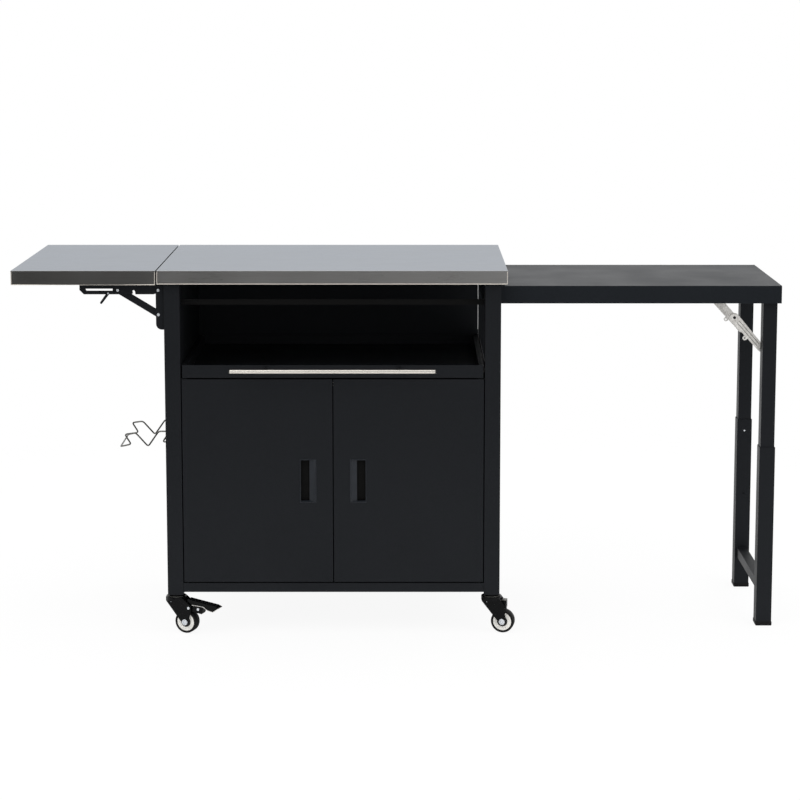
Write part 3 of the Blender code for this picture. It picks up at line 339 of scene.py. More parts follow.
def moulded(name, colour, gloss, roughness, texture=1.0):
    """A moulding whose tool was spark eroded: a matt grain over its whole skin, drawn coarse so that it
    shows, and slightly darker flow patches."""
    darker = (*[channel * 0.82 for channel in colour[:3]], 1.0)
    return mottled(
        name, {"Specular IOR Level": gloss}, (colour, darker), roughness, [(25.0, 2.0), (0.9091, 2.0)],
        relief=0.05 * texture, strength=0.4,
    )


def moulded_black_nylon(name):
    """Table guides, catch and end caps: near black, with a low satin sheen."""
    return moulded(name, colours().nylon, 0.35, (0.40, 0.50))


def moulded_slate_nylon(name):
    """Door pulls, a shade paler and colder than the doors."""
    return moulded(name, colours().slate, 0.30, (0.40, 0.50))


def moulded_cream_nylon(name):
    """Wheel centres: a warm white that looks clean and slightly waxy."""
    return moulded(name, colours().rim, 0.45, (0.36, 0.48), texture=0.5)


def moulded_black_rubber(name):
    """Tyres and feet: dull, with a dusty grain."""
    return moulded(name, colours().rubber, 0.2, (0.55, 0.70), texture=2.0)


SLOT_FINISHES = {
    "stainless": (brushed_stainless_sheet, painted_shade_stainless_sheet, hem_painted_highlight),
    "black_steel": (satin_black_powder_coat, smooth_black_powder_coat, gloss_black_paint, painted_shade_steel),
    "zinc": (cloudy_zinc_plate, blue_zinc_fastener),
    "wire": (satin_nickel_plate, dull_plated_wire),
    "nylon": (moulded_black_nylon, moulded_slate_nylon),
    "rim": (moulded_cream_nylon,),
    "tyre": (moulded_black_rubber,),
}
FINISHES = {maker.__name__: maker for makers in SLOT_FINISHES.values() for maker in makers}


def finish(name):
    """The finish of that name, made when it is first asked for."""
    return bpy.data.materials.get(name) or FINISHES[name](name)


def put(name, shape, finish_name, body, replaces=(), crease=35):
    """Turns a mesh in the frame's own coordinates into a finished piece that rides on a body."""
    bmesh.ops.recalc_face_normals(shape, faces=shape.faces)
    mesh = bpy.data.meshes.new(name)
    shape.to_mesh(mesh)
    shape.free()
    mesh.shade_smooth()
    mesh.set_sharp_from_angle(angle=radians(crease))
    mesh.materials.append(finish(finish_name))
    made = bpy.data.objects.new(name, mesh)
    bpy.context.scene.collection.objects.link(made)
    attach(made, body)
    if replaces:
        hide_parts(*replaces)
    return made


def facing(place, direction):
    """A matrix that stands a part's own Z along a direction, at a place."""
    turn = Vector(direction).to_track_quat("Z", "Y").to_matrix().to_4x4()
    return Matrix.Translation(Vector(place)) @ turn


def turns(sides):
    return [2 * pi * side / sides for side in range(sides)]


def join_rings(shape, rings, closed=False):
    """Faces between each ring of points and the next. A ring of one point closes an end."""
    for lower, upper in zip(rings, rings[1:] + (rings[:1] if closed else [])):
        sides = max(len(lower), len(upper))
        for side in range(sides):
            after = (side + 1) % sides
            if len(lower) == 1:
                shape.faces.new((lower[0], upper[after], upper[side]))
            elif len(upper) == 1:
                shape.faces.new((lower[side], lower[after], upper[0]))
            else:
                shape.faces.new((lower[side], lower[after], upper[after], upper[side]))


def turn_profile(shape, profile, matrix, sides, closed=False):
    """Turns (radius, height) points about the matrix's Z. A point of radius 0 closes an end."""
    join_rings(shape, [[
        shape.verts.new(matrix @ Vector((radius * cos(angle), radius * sin(angle), height)))
        for angle in turns(sides if radius else 1)
    ] for radius, height in profile], closed)


# Heads as shares of their radius and height: a rivet with the shallow dimple of its set, a screw with
# a rounded rim and a driver recess, a hexagon bolt with a dished top, and the washer under it.
RIVET = ((0, 0), (1, 0), (1, 0.35), (0.9, 0.75), (0.7, 1), (0.5, 1), (0.38, 0.72), (0, 0.6))
BUTTON_HEAD = (
    (0, 0), (1, 0), (1, 0.45), (0.92, 0.75), (0.72, 0.95), (0.462, 1), (0.42, 0.92), (0.378, 0.35), (0, 0.3),
)
BOLT_HEAD = ((0, 0), (1, 0), (1, 0.7), (0.84, 1), (0.66, 1), (0.5, 0.55), (0, 0.35))
WASHER = ((0, 0), (1.1, 0), (1.1, 2 / 3), (1, 1), (0, 1))
DOME_SEAT = 0.2


def sized(profile, radius, height):
    """A profile of shares at its real radius and height."""
    return [(share * radius, lift * height) for share, lift in profile]


def dome(radius, height, steps=5):
    """Profile of a domed head with a straight seat at its foot."""
    points = [(0, 0), (radius, 0)]
    for step in range(steps):
        angle = pi / 2 * step / steps
        points.append((radius * cos(angle), height * (DOME_SEAT + (1 - DOME_SEAT) * sin(angle))))
    return points + [(0, height)]


def add_tube(shape, points, radius, sides=12, closed=False):
    """A round bar along points, with square ends or run back into itself."""
    count = len(points)
    rings = []
    side_way = None
    for i, point in enumerate(points):
        before = points[i - 1] if i or closed else points[0]
        after = points[(i + 1) % count] if i < count - 1 or closed else points[-1]
        way = (Vector(after) - Vector(before)).normalized()
        if side_way is None:
            side_way = way.orthogonal().normalized()
        side_way = (side_way - way * side_way.dot(way)).normalized()
        other_way = way.cross(side_way)
        rings.append([
            shape.verts.new(Vector(point) + radius * (side_way * cos(angle) + other_way * sin(angle)))
            for angle in turns(sides)
        ])
    join_rings(shape, rings, closed)
    if not closed:
        shape.faces.new(rings[0])
        shape.faces.new(rings[-1])


def add_block(shape, low, high, radius, segments=2):
    """A box between two corners with its edges rounded."""
    low, high = Vector(low), Vector(high)
    matrix = Matrix.Translation((low + high) / 2) @ Matrix.Diagonal((*(high - low), 1))
    made = bmesh.ops.create_cube(shape, size=1, matrix=matrix)
    edges = list(dict.fromkeys(edge for vert in made["verts"] for edge in vert.link_edges))
    bmesh.ops.bevel(
        shape, geom=edges, offset=radius, offset_type="OFFSET", segments=segments, profile=0.5,
        affect="EDGES", clamp_overlap=True,
    )


def add_bead(shape, start, end, width, rise, way, sunk=0.2, top=0.5):
    """A low pressed bead between two points of a face: a long frustum that stands along way, sunk into
    the face by a share of its rise, with a top so much narrower."""
    start, end, way = Vector(start), Vector(end), Vector(way)
    along = (end - start).normalized()
    across = along.cross(way).normalized()
    rings = []
    for lift, spread in ((-sunk * rise, 1.0), (rise, top)):
        half = width / 2 * spread
        shorter = width / 2 * (1 - spread)
        rings.append([
            shape.verts.new(corner + way * lift) for corner in (
                start + along * shorter + across * half, start + along * shorter - across * half,
                end - along * shorter - across * half, end - along * shorter + across * half,
            )
        ])
    join_rings(shape, rings)
    shape.faces.new(rings[0])
    shape.faces.new(rings[-1])


def heads(name, spots, profile, finish_name, body, sides=20):
    """One piece that holds a set of like heads. Each spot is a place and the way it faces."""
    shape = bmesh.new()
    for place, direction in spots:
        turn_profile(shape, profile, facing(place, direction), sides)
    put(name, shape, finish_name, body)


def turned(name, profile, matrix, finish_name, body, sides=48, replaces=()):
    """One hollow piece turned from a closed profile in millimetres."""
    shape = bmesh.new()
    turn_profile(shape, sized(profile, MM, MM), matrix, sides, closed=True)
    put(name, shape, finish_name, body, replaces)


def bars(name, lines, radius, finish_name, body, closed=False, sides=8):
    """One piece that holds a set of like round bars, each along its points."""
    shape = bmesh.new()
    for line in lines:
        add_tube(shape, line, radius, sides, closed)
    put(name, shape, finish_name, body)


def blocks(name, corners, radius, finish_name, body, segments=2, matrix=Matrix()):
    """One piece that holds a set of rounded blocks, each between two corners."""
    shape = bmesh.new()
    for low, high in corners:
        add_block(shape, low, high, radius, segments)
    shape.transform(matrix)
    put(name, shape, finish_name, body)


def joint(name):
    """A joint's place and axis in the record."""
    row = next(row for row in frame["joints"] if row["name"] == name)
    return Vector(row["pos_m"]), Vector(row["axis"])


def middle(node):
    low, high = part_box(node)
    return (low + high) / 2


def caster_frame(word):
    """From a caster's own frame, trail along X and floor at 0, to the cart's coordinates."""
    centre, _ = joint(f"{word}_swivel_turn")
    _, axle = joint(f"{word}_wheel_spin")
    trail = axle.cross(Vector((0, 0, 1)))
    turn = Matrix((trail, axle, (0, 0, 1))).transposed().to_4x4()
    return Matrix.Translation((centre.x, centre.y, 0)) @ turn


# The nodes that aren't powder coated.
NODE_FINISH = {
    "brushed_stainless_sheet": ["worktop", "side_shelf"],
    "smooth_black_powder_coat": ["table_top"],
    # The table rails get painted shade, so that they vanish in the shadow inside the cart.
    "painted_shade_steel": [f"{end}_table_rail" for end in ENDS],
    "gloss_black_paint": [f"{word}_caster_fork" for word in CASTERS] + [
        f"{end}_left_brake_pedal" for end in ENDS
    ],
    "cloudy_zinc_plate": [f"{side}_tray_runner" for side in SIDES] + [
        f"{end}_{part}" for end in ENDS for part in ("leg_hinge", "brace_upper", "brace_lower")
    ],
    "dull_plated_wire": ["tool_rack"],
    "moulded_black_nylon": ["door_catch"] + [
        f"{end}_{part}" for end in ENDS for part in ("table_guide", "bracket_slider")
    ],
}
ROUND_NODES = {"tool_rack"}


class CART_OT_coat_frame(Operator):
    """Gives every solid of the frame its finish and soft edges, and the shelf's front a darker copy of its
    stainless with painted shade
    """

    bl_idname = "cart.coat_frame"
    bl_label = "Coat the frame"

    WELD_REACH = 0.01 * MM
    SHARP_ANGLE = 40
    PAINTED_SHADE_FRONT_NORMAL = -0.9

    def soften_edges(self, node):
        """Rounds a part's sharp edges, as folding and coating do, with modifiers alone."""
        weld = node.modifiers.new("weld", "WELD")
        weld.merge_threshold = self.WELD_REACH
        edge = node.modifiers.new("edge", "BEVEL")
        edge.width = sizes().edge_radius
        edge.segments = 2
        edge.limit_method = "ANGLE"
        edge.angle_limit = radians(self.SHARP_ANGLE)
        edge.harden_normals = True

    def execute(self, context):
        chosen = {node: name for name, nodes in NODE_FINISH.items() for node in nodes}
        for name, node in frame["nodes"].items():
            finish_name = chosen.get(name, "satin_black_powder_coat")
            node.data.materials.clear()
            node.data.materials.append(finish(finish_name))
            if name not in ROUND_NODES:
                self.soften_edges(node)
        # The shelf's front faces get the darker copy of the stainless: painted shade for the dark that they
        # reflect.
        shelf = frame["nodes"]["side_shelf"].data
        shelf.materials.append(finish("painted_shade_stainless_sheet"))
        for face in shelf.polygons:
            face.material_index = int(face.normal.y < self.PAINTED_SHADE_FRONT_NORMAL)
        return {"FINISHED"}


class CART_OT_fold_hems(Operator):
    """Folds a hem round the foot and up the corners of the worktop and the shelf, pale with painted
    highlight
    """

    bl_idname = "cart.fold_hems"
    bl_label = "Fold the hems"

    FOOT_LIFT = 0.6
    CORNER_SHARE = 0.8

    def execute(self, context):
        radius = sizes().hem_radius
        proud = sizes().hem_proud
        for node, body in (("worktop", "frame"), ("side_shelf", "folding_shelf")):
            low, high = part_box(node)
            x0, x1 = low.x + radius, high.x - radius
            y0, y1 = low.y + radius - proud, high.y - radius
            corners = [(x0, y0), (x1, y0), (x1, y1), (x0, y1)]
            foot, top = low.z + radius * self.FOOT_LIFT, high.z - 2 * radius
            shape = bmesh.new()
            add_tube(shape, [(x, y, foot) for x, y in corners], radius, closed=True)
            for x, y in corners:
                add_tube(shape, [(x, y, foot), (x, y, top)], radius * self.CORNER_SHARE)
            put(f"{node}_hem", shape, "hem_painted_highlight", body)
        return {"FINISHED"}


class CART_OT_fit_handle(Operator):
    """Fits the tray's bar handle with its posts, collars and end caps"""

    bl_idname = "cart.fit_handle"
    bl_label = "Fit the tray handle"

    CHAMFER = 0.1
    CAP = ((0, 0), (0.99, 0), (0.99, 0.55), (0.86, 0.86), (0.55, 1), (0, 1))
    CAP_LENGTH = 3.5 * MM
    COLLAR_HEIGHT = 2.5 * MM
    COLLAR_SHOULDER = (0.9, 0.7)
    POST_RADIUS = 4 * MM
    POST_PITCH = 320 * MM

    def execute(self, context):
        low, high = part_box("tray_handle")
        radius = (high.z - low.z) / 2
        y, z = low.y + radius, low.z + radius
        start, stop = low.x + self.CAP_LENGTH, high.x - self.CAP_LENGTH
        chamfer = radius * self.CHAMFER
        bar = [(0, 0), (radius - chamfer, 0), (radius, chamfer), (radius, stop - start), (0, stop - start)]
        shape = bmesh.new()
        turn_profile(shape, bar, facing((start, y, z), (1, 0, 0)), sides=40)
        put("handle_bar", shape, "satin_nickel_plate", "sliding_tray", replaces=("tray_handle",))
        collar, reach = sizes().collar_radius, high.y - y
        seat = reach - self.COLLAR_HEIGHT
        in_share, up_share = self.COLLAR_SHOULDER
        post = [
            (0, 0), (self.POST_RADIUS, 0), (self.POST_RADIUS, seat), (collar * in_share, seat),
            (collar, reach - self.COLLAR_HEIGHT * up_share), (collar, reach), (0, reach),
        ]
        centre = middle("tray_handle").x
        posts = [((centre + way * self.POST_PITCH / 2, y, z), (0, 1, 0)) for way in (-1, 1)]
        heads("handle_posts", posts, post, "satin_black_powder_coat", "sliding_tray", sides=28)
        ends = [((start, y, z), (-1, 0, 0)), ((stop, y, z), (1, 0, 0))]
        cap = sized(self.CAP, radius, self.CAP_LENGTH)
        heads("handle_caps", ends, cap, "moulded_black_nylon", "sliding_tray", sides=32)
        return {"FINISHED"}


class CART_OT_mould_pulls(Operator):
    """Moulds the two recessed door pulls: a frame, a finger slot darkened with painted shade and a sloping
    strip
    """

    bl_idname = "cart.mould_pulls"
    bl_label = "Mould the door pulls"

    PROUD = 0.6 * MM
    CREST_START = 0.2
    CREST_END = 0.8
    CREST_FALL = 0.7
    STRIP_WIDTH = 15 * MM
    STRIP_STEP = 1.2 * MM
    STRIP_DEPTH = 5 * MM
    SLOT_DEPTH = 12.4 * MM
    WALL = 0.8 * MM
    SKIRT = 0.5 * MM
    LEVEL_NORMAL = 0.99

    def lip_depth(self, edge):
        """Depth of the frame at a distance from the pull's outer edge: it rises, runs level and falls."""
        lip = sizes().lip
        if edge < lip * self.CREST_START:
            return -self.PROUD * edge / (lip * self.CREST_START)
        if edge < lip * self.CREST_END:
            return -self.PROUD
        past = (edge - lip * self.CREST_END) / (lip * (1 - self.CREST_END))
        return -self.PROUD * (1 - self.CREST_FALL * past)

    def depth(self, across, up, width, height):
        """Depth of the moulding at a place across and up its face."""
        lip = sizes().lip
        edge = min(across, width - across, up, height - up)
        if edge <= lip:
            return self.lip_depth(edge)
        inside = across - lip
        if inside <= self.STRIP_WIDTH:
            return self.STRIP_STEP + (self.STRIP_DEPTH - self.STRIP_STEP) * inside / self.STRIP_WIDTH
        return self.SLOT_DEPTH

    def execute(self, context):
        lip = sizes().lip
        ends = [lip * share for share in (0, self.CREST_START, 0.5, self.CREST_END, 1)] + [lip + self.WALL]
        strip_end = lip + self.STRIP_WIDTH
        for side, word in ((1, "left"), (-1, "right")):
            low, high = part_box(f"{word}_door_pull")
            width, height = high.x - low.x, high.z - low.z
            columns = ends + [strip_end / 2, strip_end, strip_end + self.WALL]
            columns += [(strip_end + width) / 2] + [width - end for end in reversed(ends)]
            rows = ends + [height / 3, height * 2 / 3] + [height - end for end in reversed(ends)]
            start = high.x if side > 0 else low.x
            shape = bmesh.new()
            front = [[
                shape.verts.new((start - side * u, low.y + self.depth(u, v, width, height), low.z + v))
                for u in columns
            ] for v in rows]
            for lower, upper in zip(front, front[1:]):
                for i in range(len(columns) - 1):
                    shape.faces.new((lower[i], lower[i + 1], upper[i + 1], upper[i]))
            rim = [edge for edge in shape.edges if edge.is_boundary]
            skirt = bmesh.ops.extrude_edge_only(shape, edges=rim)["geom"]
            for vert in (item for item in skirt if isinstance(item, bmesh.types.BMVert)):
                vert.co.y = high.y
            bmesh.ops.contextual_create(
                shape, geom=[item for item in skirt if isinstance(item, bmesh.types.BMEdge)],
            )
            pull = put(
                f"{word}_pull_moulding", shape, "moulded_slate_nylon", f"{word}_door_leaf",
                replaces=(f"{word}_door_pull",), crease=50,
            )
            # The slot's deep walls and floor get painted shade, a near black steel finish.
            pull.data.materials.append(finish("painted_shade_steel"))
            for face in pull.data.polygons:
                deep = low.y + self.STRIP_DEPTH < face.center.y < high.y - self.SKIRT
                if deep and abs(face.normal.z) < self.LEVEL_NORMAL:
                    face.material_index = int(low.x + lip < face.center.x < high.x - lip)
        return {"FINISHED"}


class CART_OT_rivet_brackets(Operator):
    """Rivets the shelf's folding brackets and their levers"""

    bl_idname = "cart.rivet_brackets"
    bl_label = "Rivet the brackets"

    PAD_THICK = 1.6 * MM
    PAD_PROUD = 0.6 * MM
    PAD_INSET = 0.5 * MM
    PAD_BEHIND = 0.2 * MM
    PAD_ROUNDING = 0.2 * MM
    SLIDER_SHARE = (0.95, 1)
    LEVER_SHARE = (0.62, 0.6)

    def front_rivet(self, name, place, face, share, body):
        """A rivet on a front face, with shares of the usual radius and height."""
        profile = sized(RIVET, sizes().rivet_radius * share[0], sizes().rivet_height * share[1])
        heads(name, [((place.x, face, place.z), (0, -1, 0))], profile, "blue_zinc_fastener", body)

    def execute(self, context):
        profile = sized(RIVET, sizes().rivet_radius, sizes().rivet_height)
        pivots = [joint(name)[0] for name in ("shelf_fold", "strut_swing")]
        for end in ENDS:
            low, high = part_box(f"{end}_bracket_plate")
            faces = ((low.y, -1), (high.y, 1))
            spots = [((pivot.x, y, pivot.z), (0, way, 0)) for pivot in pivots for y, way in faces]
            heads(f"{end}_bracket_rivets", spots, profile, "blue_zinc_fastener", "frame")
            pad = (
                (high.x - self.PAD_THICK, low.y - self.PAD_PROUD, low.z + self.PAD_INSET),
                (high.x + self.PAD_BEHIND, high.y + self.PAD_PROUD, high.z - self.PAD_INSET),
            )
            blocks(f"{end}_bracket_pad", [pad], self.PAD_ROUNDING, "moulded_black_rubber", "frame")
            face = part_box(f"{end}_bracket_slider")[0].y
            place = middle(f"{end}_bracket_slider")
            self.front_rivet(f"{end}_slider_rivet", place, face, self.SLIDER_SHARE, "shelf_sliders")
            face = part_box(f"{end}_bracket_arm")[0].y
            place, _ = joint(f"{end}_lever_press")
            self.front_rivet(f"{end}_lever_rivet", place, face, self.LEVER_SHARE, "folding_shelf")
        return {"FINISHED"}


class CART_OT_press_braces(Operator):
    """Presses beads into the leg braces and rivets their elbows and pins"""

    bl_idname = "cart.press_braces"
    bl_label = "Press the braces"

    BEAD_WIDTH = 1.3 * MM
    BEAD_RISE = 0.35 * MM
    BEAD_OFFSET = 3.4 * MM
    BEAD_FROM_ELBOW = 13 * MM
    BEAD_FROM_PIN = 11 * MM
    ELBOW_PART = 0.4789
    ELBOW_RADIUS = 3.6 * MM
    CLINCH_SHARE = 0.7
    PIN_HEAD_RADIUS = 4.4 * MM
    PIN_HEAD_RISE = 0.25 * MM

    def execute(self, context):
        table_pin, _ = joint("upper_brace_swing")
        leg_pin, _ = joint("lower_brace_swing")
        elbow = table_pin.lerp(leg_pin, self.ELBOW_PART)
        along = (leg_pin - elbow).normalized()
        across = along.cross(Vector((0, 1, 0)))
        for end, outward in (("front", -1), ("rear", 1)):
            low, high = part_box(f"{end}_brace_lower")
            face, inner = (low.y, high.y) if outward < 0 else (high.y, low.y)
            shape = bmesh.new()
            for side in (-1, 1):
                start = elbow + along * self.BEAD_FROM_ELBOW + across * self.BEAD_OFFSET * side
                stop = leg_pin - along * self.BEAD_FROM_PIN + across * self.BEAD_OFFSET * side
                start.y = stop.y = face
                add_bead(shape, start, stop, self.BEAD_WIDTH, self.BEAD_RISE, (0, outward, 0))
            # The beads are real, but their darker wire finish is painted shade for the shadow lines beside
            # the pressed ribs.
            put(f"{end}_brace_beads", shape, "dull_plated_wire", "lower_braces", crease=20)
            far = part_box(f"{end}_brace_upper")[1 if outward < 0 else 0].y
            for name, place, way, profile, finish_name, body in (
                ("elbow_rivet", (elbow.x, face, elbow.z), outward,
                 sized(RIVET, self.ELBOW_RADIUS, self.BEAD_RISE), "satin_black_powder_coat", "lower_braces"),
                ("leg_pin_washer", (leg_pin.x, inner, leg_pin.z), -outward,
                 dome(self.PIN_HEAD_RADIUS, self.PIN_HEAD_RISE), "blue_zinc_fastener", "folding_legs"),
                ("elbow_clinch", (elbow.x, far, elbow.z), -outward,
                 dome(self.ELBOW_RADIUS, sizes().rivet_height * self.CLINCH_SHARE), "blue_zinc_fastener",
                 "upper_braces"),
            ):
                heads(f"{end}_{name}", [(place, (0, way, 0))], profile, finish_name, body)
        return {"FINISHED"}


class CART_OT_finish_legs(Operator):
    """Fits snap buttons into the telescopic legs, feet under them and welds on their crossbar"""

    bl_idname = "cart.finish_legs"
    bl_label = "Finish the legs"

    BUTTON_FROM_TOP = 30 * MM
    BUTTON_SUNK = 1.5 * MM
    TUBE_HALF = 17 * MM
    FOOT_RADIUS = 2.2 * MM
    WELD_RADIUS = 1.4 * MM

    def execute(self, context):
        size = sizes()
        buttons = []
        for end, inward in (("front", 1), ("rear", -1)):
            low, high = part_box(f"{end}_leg_sleeve")
            centre = (low + high) / 2
            start = centre.y + inward * (self.TUBE_HALF - self.BUTTON_SUNK)
            buttons.append(((centre.x, start, high.z - self.BUTTON_FROM_TOP), (0, inward, 0)))
            wall = Vector((size.foot_wall, size.foot_wall, 0))
            foot = (low - wall, Vector((high.x, high.y, low.z + size.foot_height)) + wall)
            blocks(
                f"{end}_leg_foot", [foot], self.FOOT_RADIUS, "moulded_black_rubber", "leg_extension",
                segments=3,
            )
        button = dome(size.button_radius, size.button_height, steps=7)
        heads("snap_buttons", buttons, button, "blue_zinc_fastener", "folding_legs", sides=24)
        low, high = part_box("leg_crossbar")
        corners = [(low.x, low.z), (high.x, low.z), (high.x, high.z), (low.x, high.z)]
        seams = [[(x, y, z) for x, z in corners] for y in (low.y, high.y)]
        bars(
            "crossbar_welds", seams, self.WELD_RADIUS, "satin_black_powder_coat", "leg_extension",
            closed=True,
        )
        return {"FINISHED"}


class CART_OT_mount_casters(Operator):
    """Builds the wheels, axle bolts, bearing races, pedal treads and the fork's small fittings"""

    bl_idname = "cart.mount_casters"
    bl_label = "Mount the casters"

    # In millimetres, in a caster's own frame. Each profile is radius and place along its axis.
    TYRE = (
        (22.7, -10.5), (24.4, -11.6), (26.2, -11.95), (27.5, -11.2), (28.2, -9.4), (28.3, -0.5), (28.5, 0),
        (28.3, 0.5), (28.2, 9.4), (27.5, 11.2), (26.2, 11.95), (24.4, 11.6), (22.7, 10.5),
    )
    RIM = (
        (12.8, -9.2), (16.9, -9.2), (17.6, -10.0), (22.0, -10.4), (22.7, -9.8), (22.7, 9.8), (22.0, 10.4),
        (17.6, 10.0), (16.9, 9.2), (12.8, 9.2),
    )
    HUB = (
        (4.3, -11.8), (8.8, -11.8), (9.6, -11.0), (12.9, -9.6), (12.9, 9.6), (9.6, 11.0), (8.8, 11.8),
        (4.3, 11.8),
    )
    RACE = ((16.8, 0), (20.6, 0), (21.3, 0.6), (21.3, 2.0), (20.6, 2.8), (19.4, 3.1), (16.8, 3.1))
    RACE_LIP = ((21.0, 0.6), (21.7, 0.8), (21.7, 1.7), (21.0, 1.9))
    WASHER_THICK = 0.9
    CHEEK_OUT = 15.5
    CAP_TOP = 89.7
    FORK_RIVET = (-8.0, 77.5)
    FORK_RIVET_RADIUS = 1.4
    FORK_RIVET_RISE = 0.7
    PEDAL_PIN = (39.5, 65.0)
    PEDAL_RIVET = (63.0, 63.0)
    PEDAL_RIVET_SHARE = 0.95
    PEDAL_HALF = 10.5
    TREAD_START = (70.0, 80.5)
    TREAD_END = (108.0, 75.2)
    TREAD_RIBS = 6
    TREAD_SHARE = 0.86
    TREAD_RADIUS = 0.9
    # Paths of the pale lines on the pedal's sides: painted highlight along its lower edge and its fold.
    LOWER_EDGE = ((79.0, 68.2), (88.7, 62.9), (102.6, 59.6), (118.0, 70.4))
    FOLD_LINE = ((46.0, 72.0), (62.0, 71.4), (80.0, 69.8))
    HIGHLIGHT_RADIUS = 0.7
    HIGHLIGHT_INSET = 0.3
    STOP_LOW = (26.5, -9.0, 61.5)
    STOP_HIGH = (38.5, 9.0, 80.5)
    STOP_ROUNDING = 0.8
    STOP_TOP_SUNK = 0.2
    STOP_TOP_RISE = 1.6

    def wheel(self, word):
        stand = facing(*joint(f"{word}_wheel_spin"))
        for part, profile, finish_name, replaced in (
            ("tyre_band", self.TYRE, "moulded_black_rubber", (f"{word}_caster_tyre",)),
            ("wheel_centre", self.RIM, "moulded_cream_nylon", (f"{word}_caster_rim",)),
            ("hub_cap", self.HUB, "moulded_black_nylon", ()),
        ):
            turned(
                f"{word}_{part}", profile, stand, finish_name, f"{word}_wheel", sides=64, replaces=replaced,
            )

    def pair(self, matrix, place, reach):
        """Spots on both sides of a caster, at a place along and above it."""
        side = matrix.to_3x3() @ Vector((0, 1, 0))
        x, z = place
        return [(matrix @ (Vector((x, way * reach, z)) * MM), side * way) for way in (-1, 1)]

    def fittings(self, word, matrix):
        """The axle bolt with its washers, the swivel's race and the fork's rivets."""
        body = f"{word}_swivel"
        place, axis = joint(f"{word}_wheel_spin")
        radius, height = sizes().bolt_radius, sizes().bolt_height
        shape = bmesh.new()
        for way in (-1, 1):
            stand = facing(place + axis * way * self.CHEEK_OUT * MM, axis * way)
            turn_profile(shape, sized(WASHER, radius, self.WASHER_THICK * MM), stand, sides=28)
            turn_profile(shape, sized(BOLT_HEAD, radius, height), stand, sides=6)
        put(f"{word}_axle_bolt", shape, "blue_zinc_fastener", body, crease=25)
        top = matrix @ Matrix.Translation((0, 0, self.CAP_TOP * MM))
        turned(f"{word}_bearing_race", self.RACE, top, "gloss_black_paint", body)
        turned(f"{word}_race_lip", self.RACE_LIP, top, "dull_plated_wire", body)
        spots = self.pair(matrix, self.FORK_RIVET, self.CHEEK_OUT)
        profile = dome(self.FORK_RIVET_RADIUS * MM, self.FORK_RIVET_RISE * MM)
        heads(f"{word}_fork_rivets", spots, profile, "blue_zinc_fastener", body, sides=16)

    def pedal(self, word, matrix):
        """The brake pedal's pin and rivets, its ribbed tread, and thin pale lines along its lower edge and
        fold that are painted highlight.
        """
        profile = sized(RIVET, sizes().rivet_radius * self.PEDAL_RIVET_SHARE, sizes().rivet_height)
        for name, place, reach, body in (
            ("pedal_pin_heads", self.PEDAL_PIN, self.CHEEK_OUT, f"{word}_swivel"),
            ("pedal_rivets", self.PEDAL_RIVET, self.PEDAL_HALF, f"{word}_pedal"),
        ):
            spots = self.pair(matrix, place, reach)
            heads(f"{word}_{name}", spots, profile, "blue_zinc_fastener", body)
        start, end = Vector(self.TREAD_START) * MM, Vector(self.TREAD_END) * MM
        half = self.PEDAL_HALF * self.TREAD_SHARE * MM
        spots = [start.lerp(end, rib / (self.TREAD_RIBS - 1)) for rib in range(self.TREAD_RIBS)]
        ribs = [[matrix @ Vector((spot.x, y, spot.y)) for y in (-half, half)] for spot in spots]
        bars(f"{word}_pedal_tread", ribs, self.TREAD_RADIUS * MM, "moulded_black_rubber", f"{word}_pedal")
        # Thin zinc bars along the pedal's lower edge and fold: painted highlight on the black pressing.
        edge = self.PEDAL_HALF - self.HIGHLIGHT_INSET
        lines = [
            [matrix @ (Vector((x, way * edge, z)) * MM) for x, z in line]
            for way in (-1, 1) for line in (self.LOWER_EDGE, self.FOLD_LINE)
        ]
        bars(f"{word}_pedal_painted_highlight", lines, self.HIGHLIGHT_RADIUS * MM, "cloudy_zinc_plate", f"{word}_pedal")

    def stop(self, word, matrix):
        """The blank stop on a fork without a brake, with its bare top."""
        low, high = Vector(self.STOP_LOW) * MM, Vector(self.STOP_HIGH) * MM
        top_low = Vector((low.x, low.y, high.z - self.STOP_TOP_SUNK * MM))
        top_high = high + Vector((0, 0, self.STOP_TOP_RISE * MM))
        rounding, body = self.STOP_ROUNDING * MM, f"{word}_swivel"
        blocks(f"{word}_stop", [(low, high)], rounding, "gloss_black_paint", body, matrix=matrix)
        blocks(f"{word}_stop_top", [(top_low, top_high)], rounding, "dull_plated_wire", body, matrix=matrix)

    def execute(self, context):
        for word in CASTERS:
            matrix = caster_frame(word)
            self.wheel(word)
            self.fittings(word, matrix)
            if word.endswith("left"):
                self.pedal(word, matrix)
            else:
                self.stop(word, matrix)
        return {"FINISHED"}


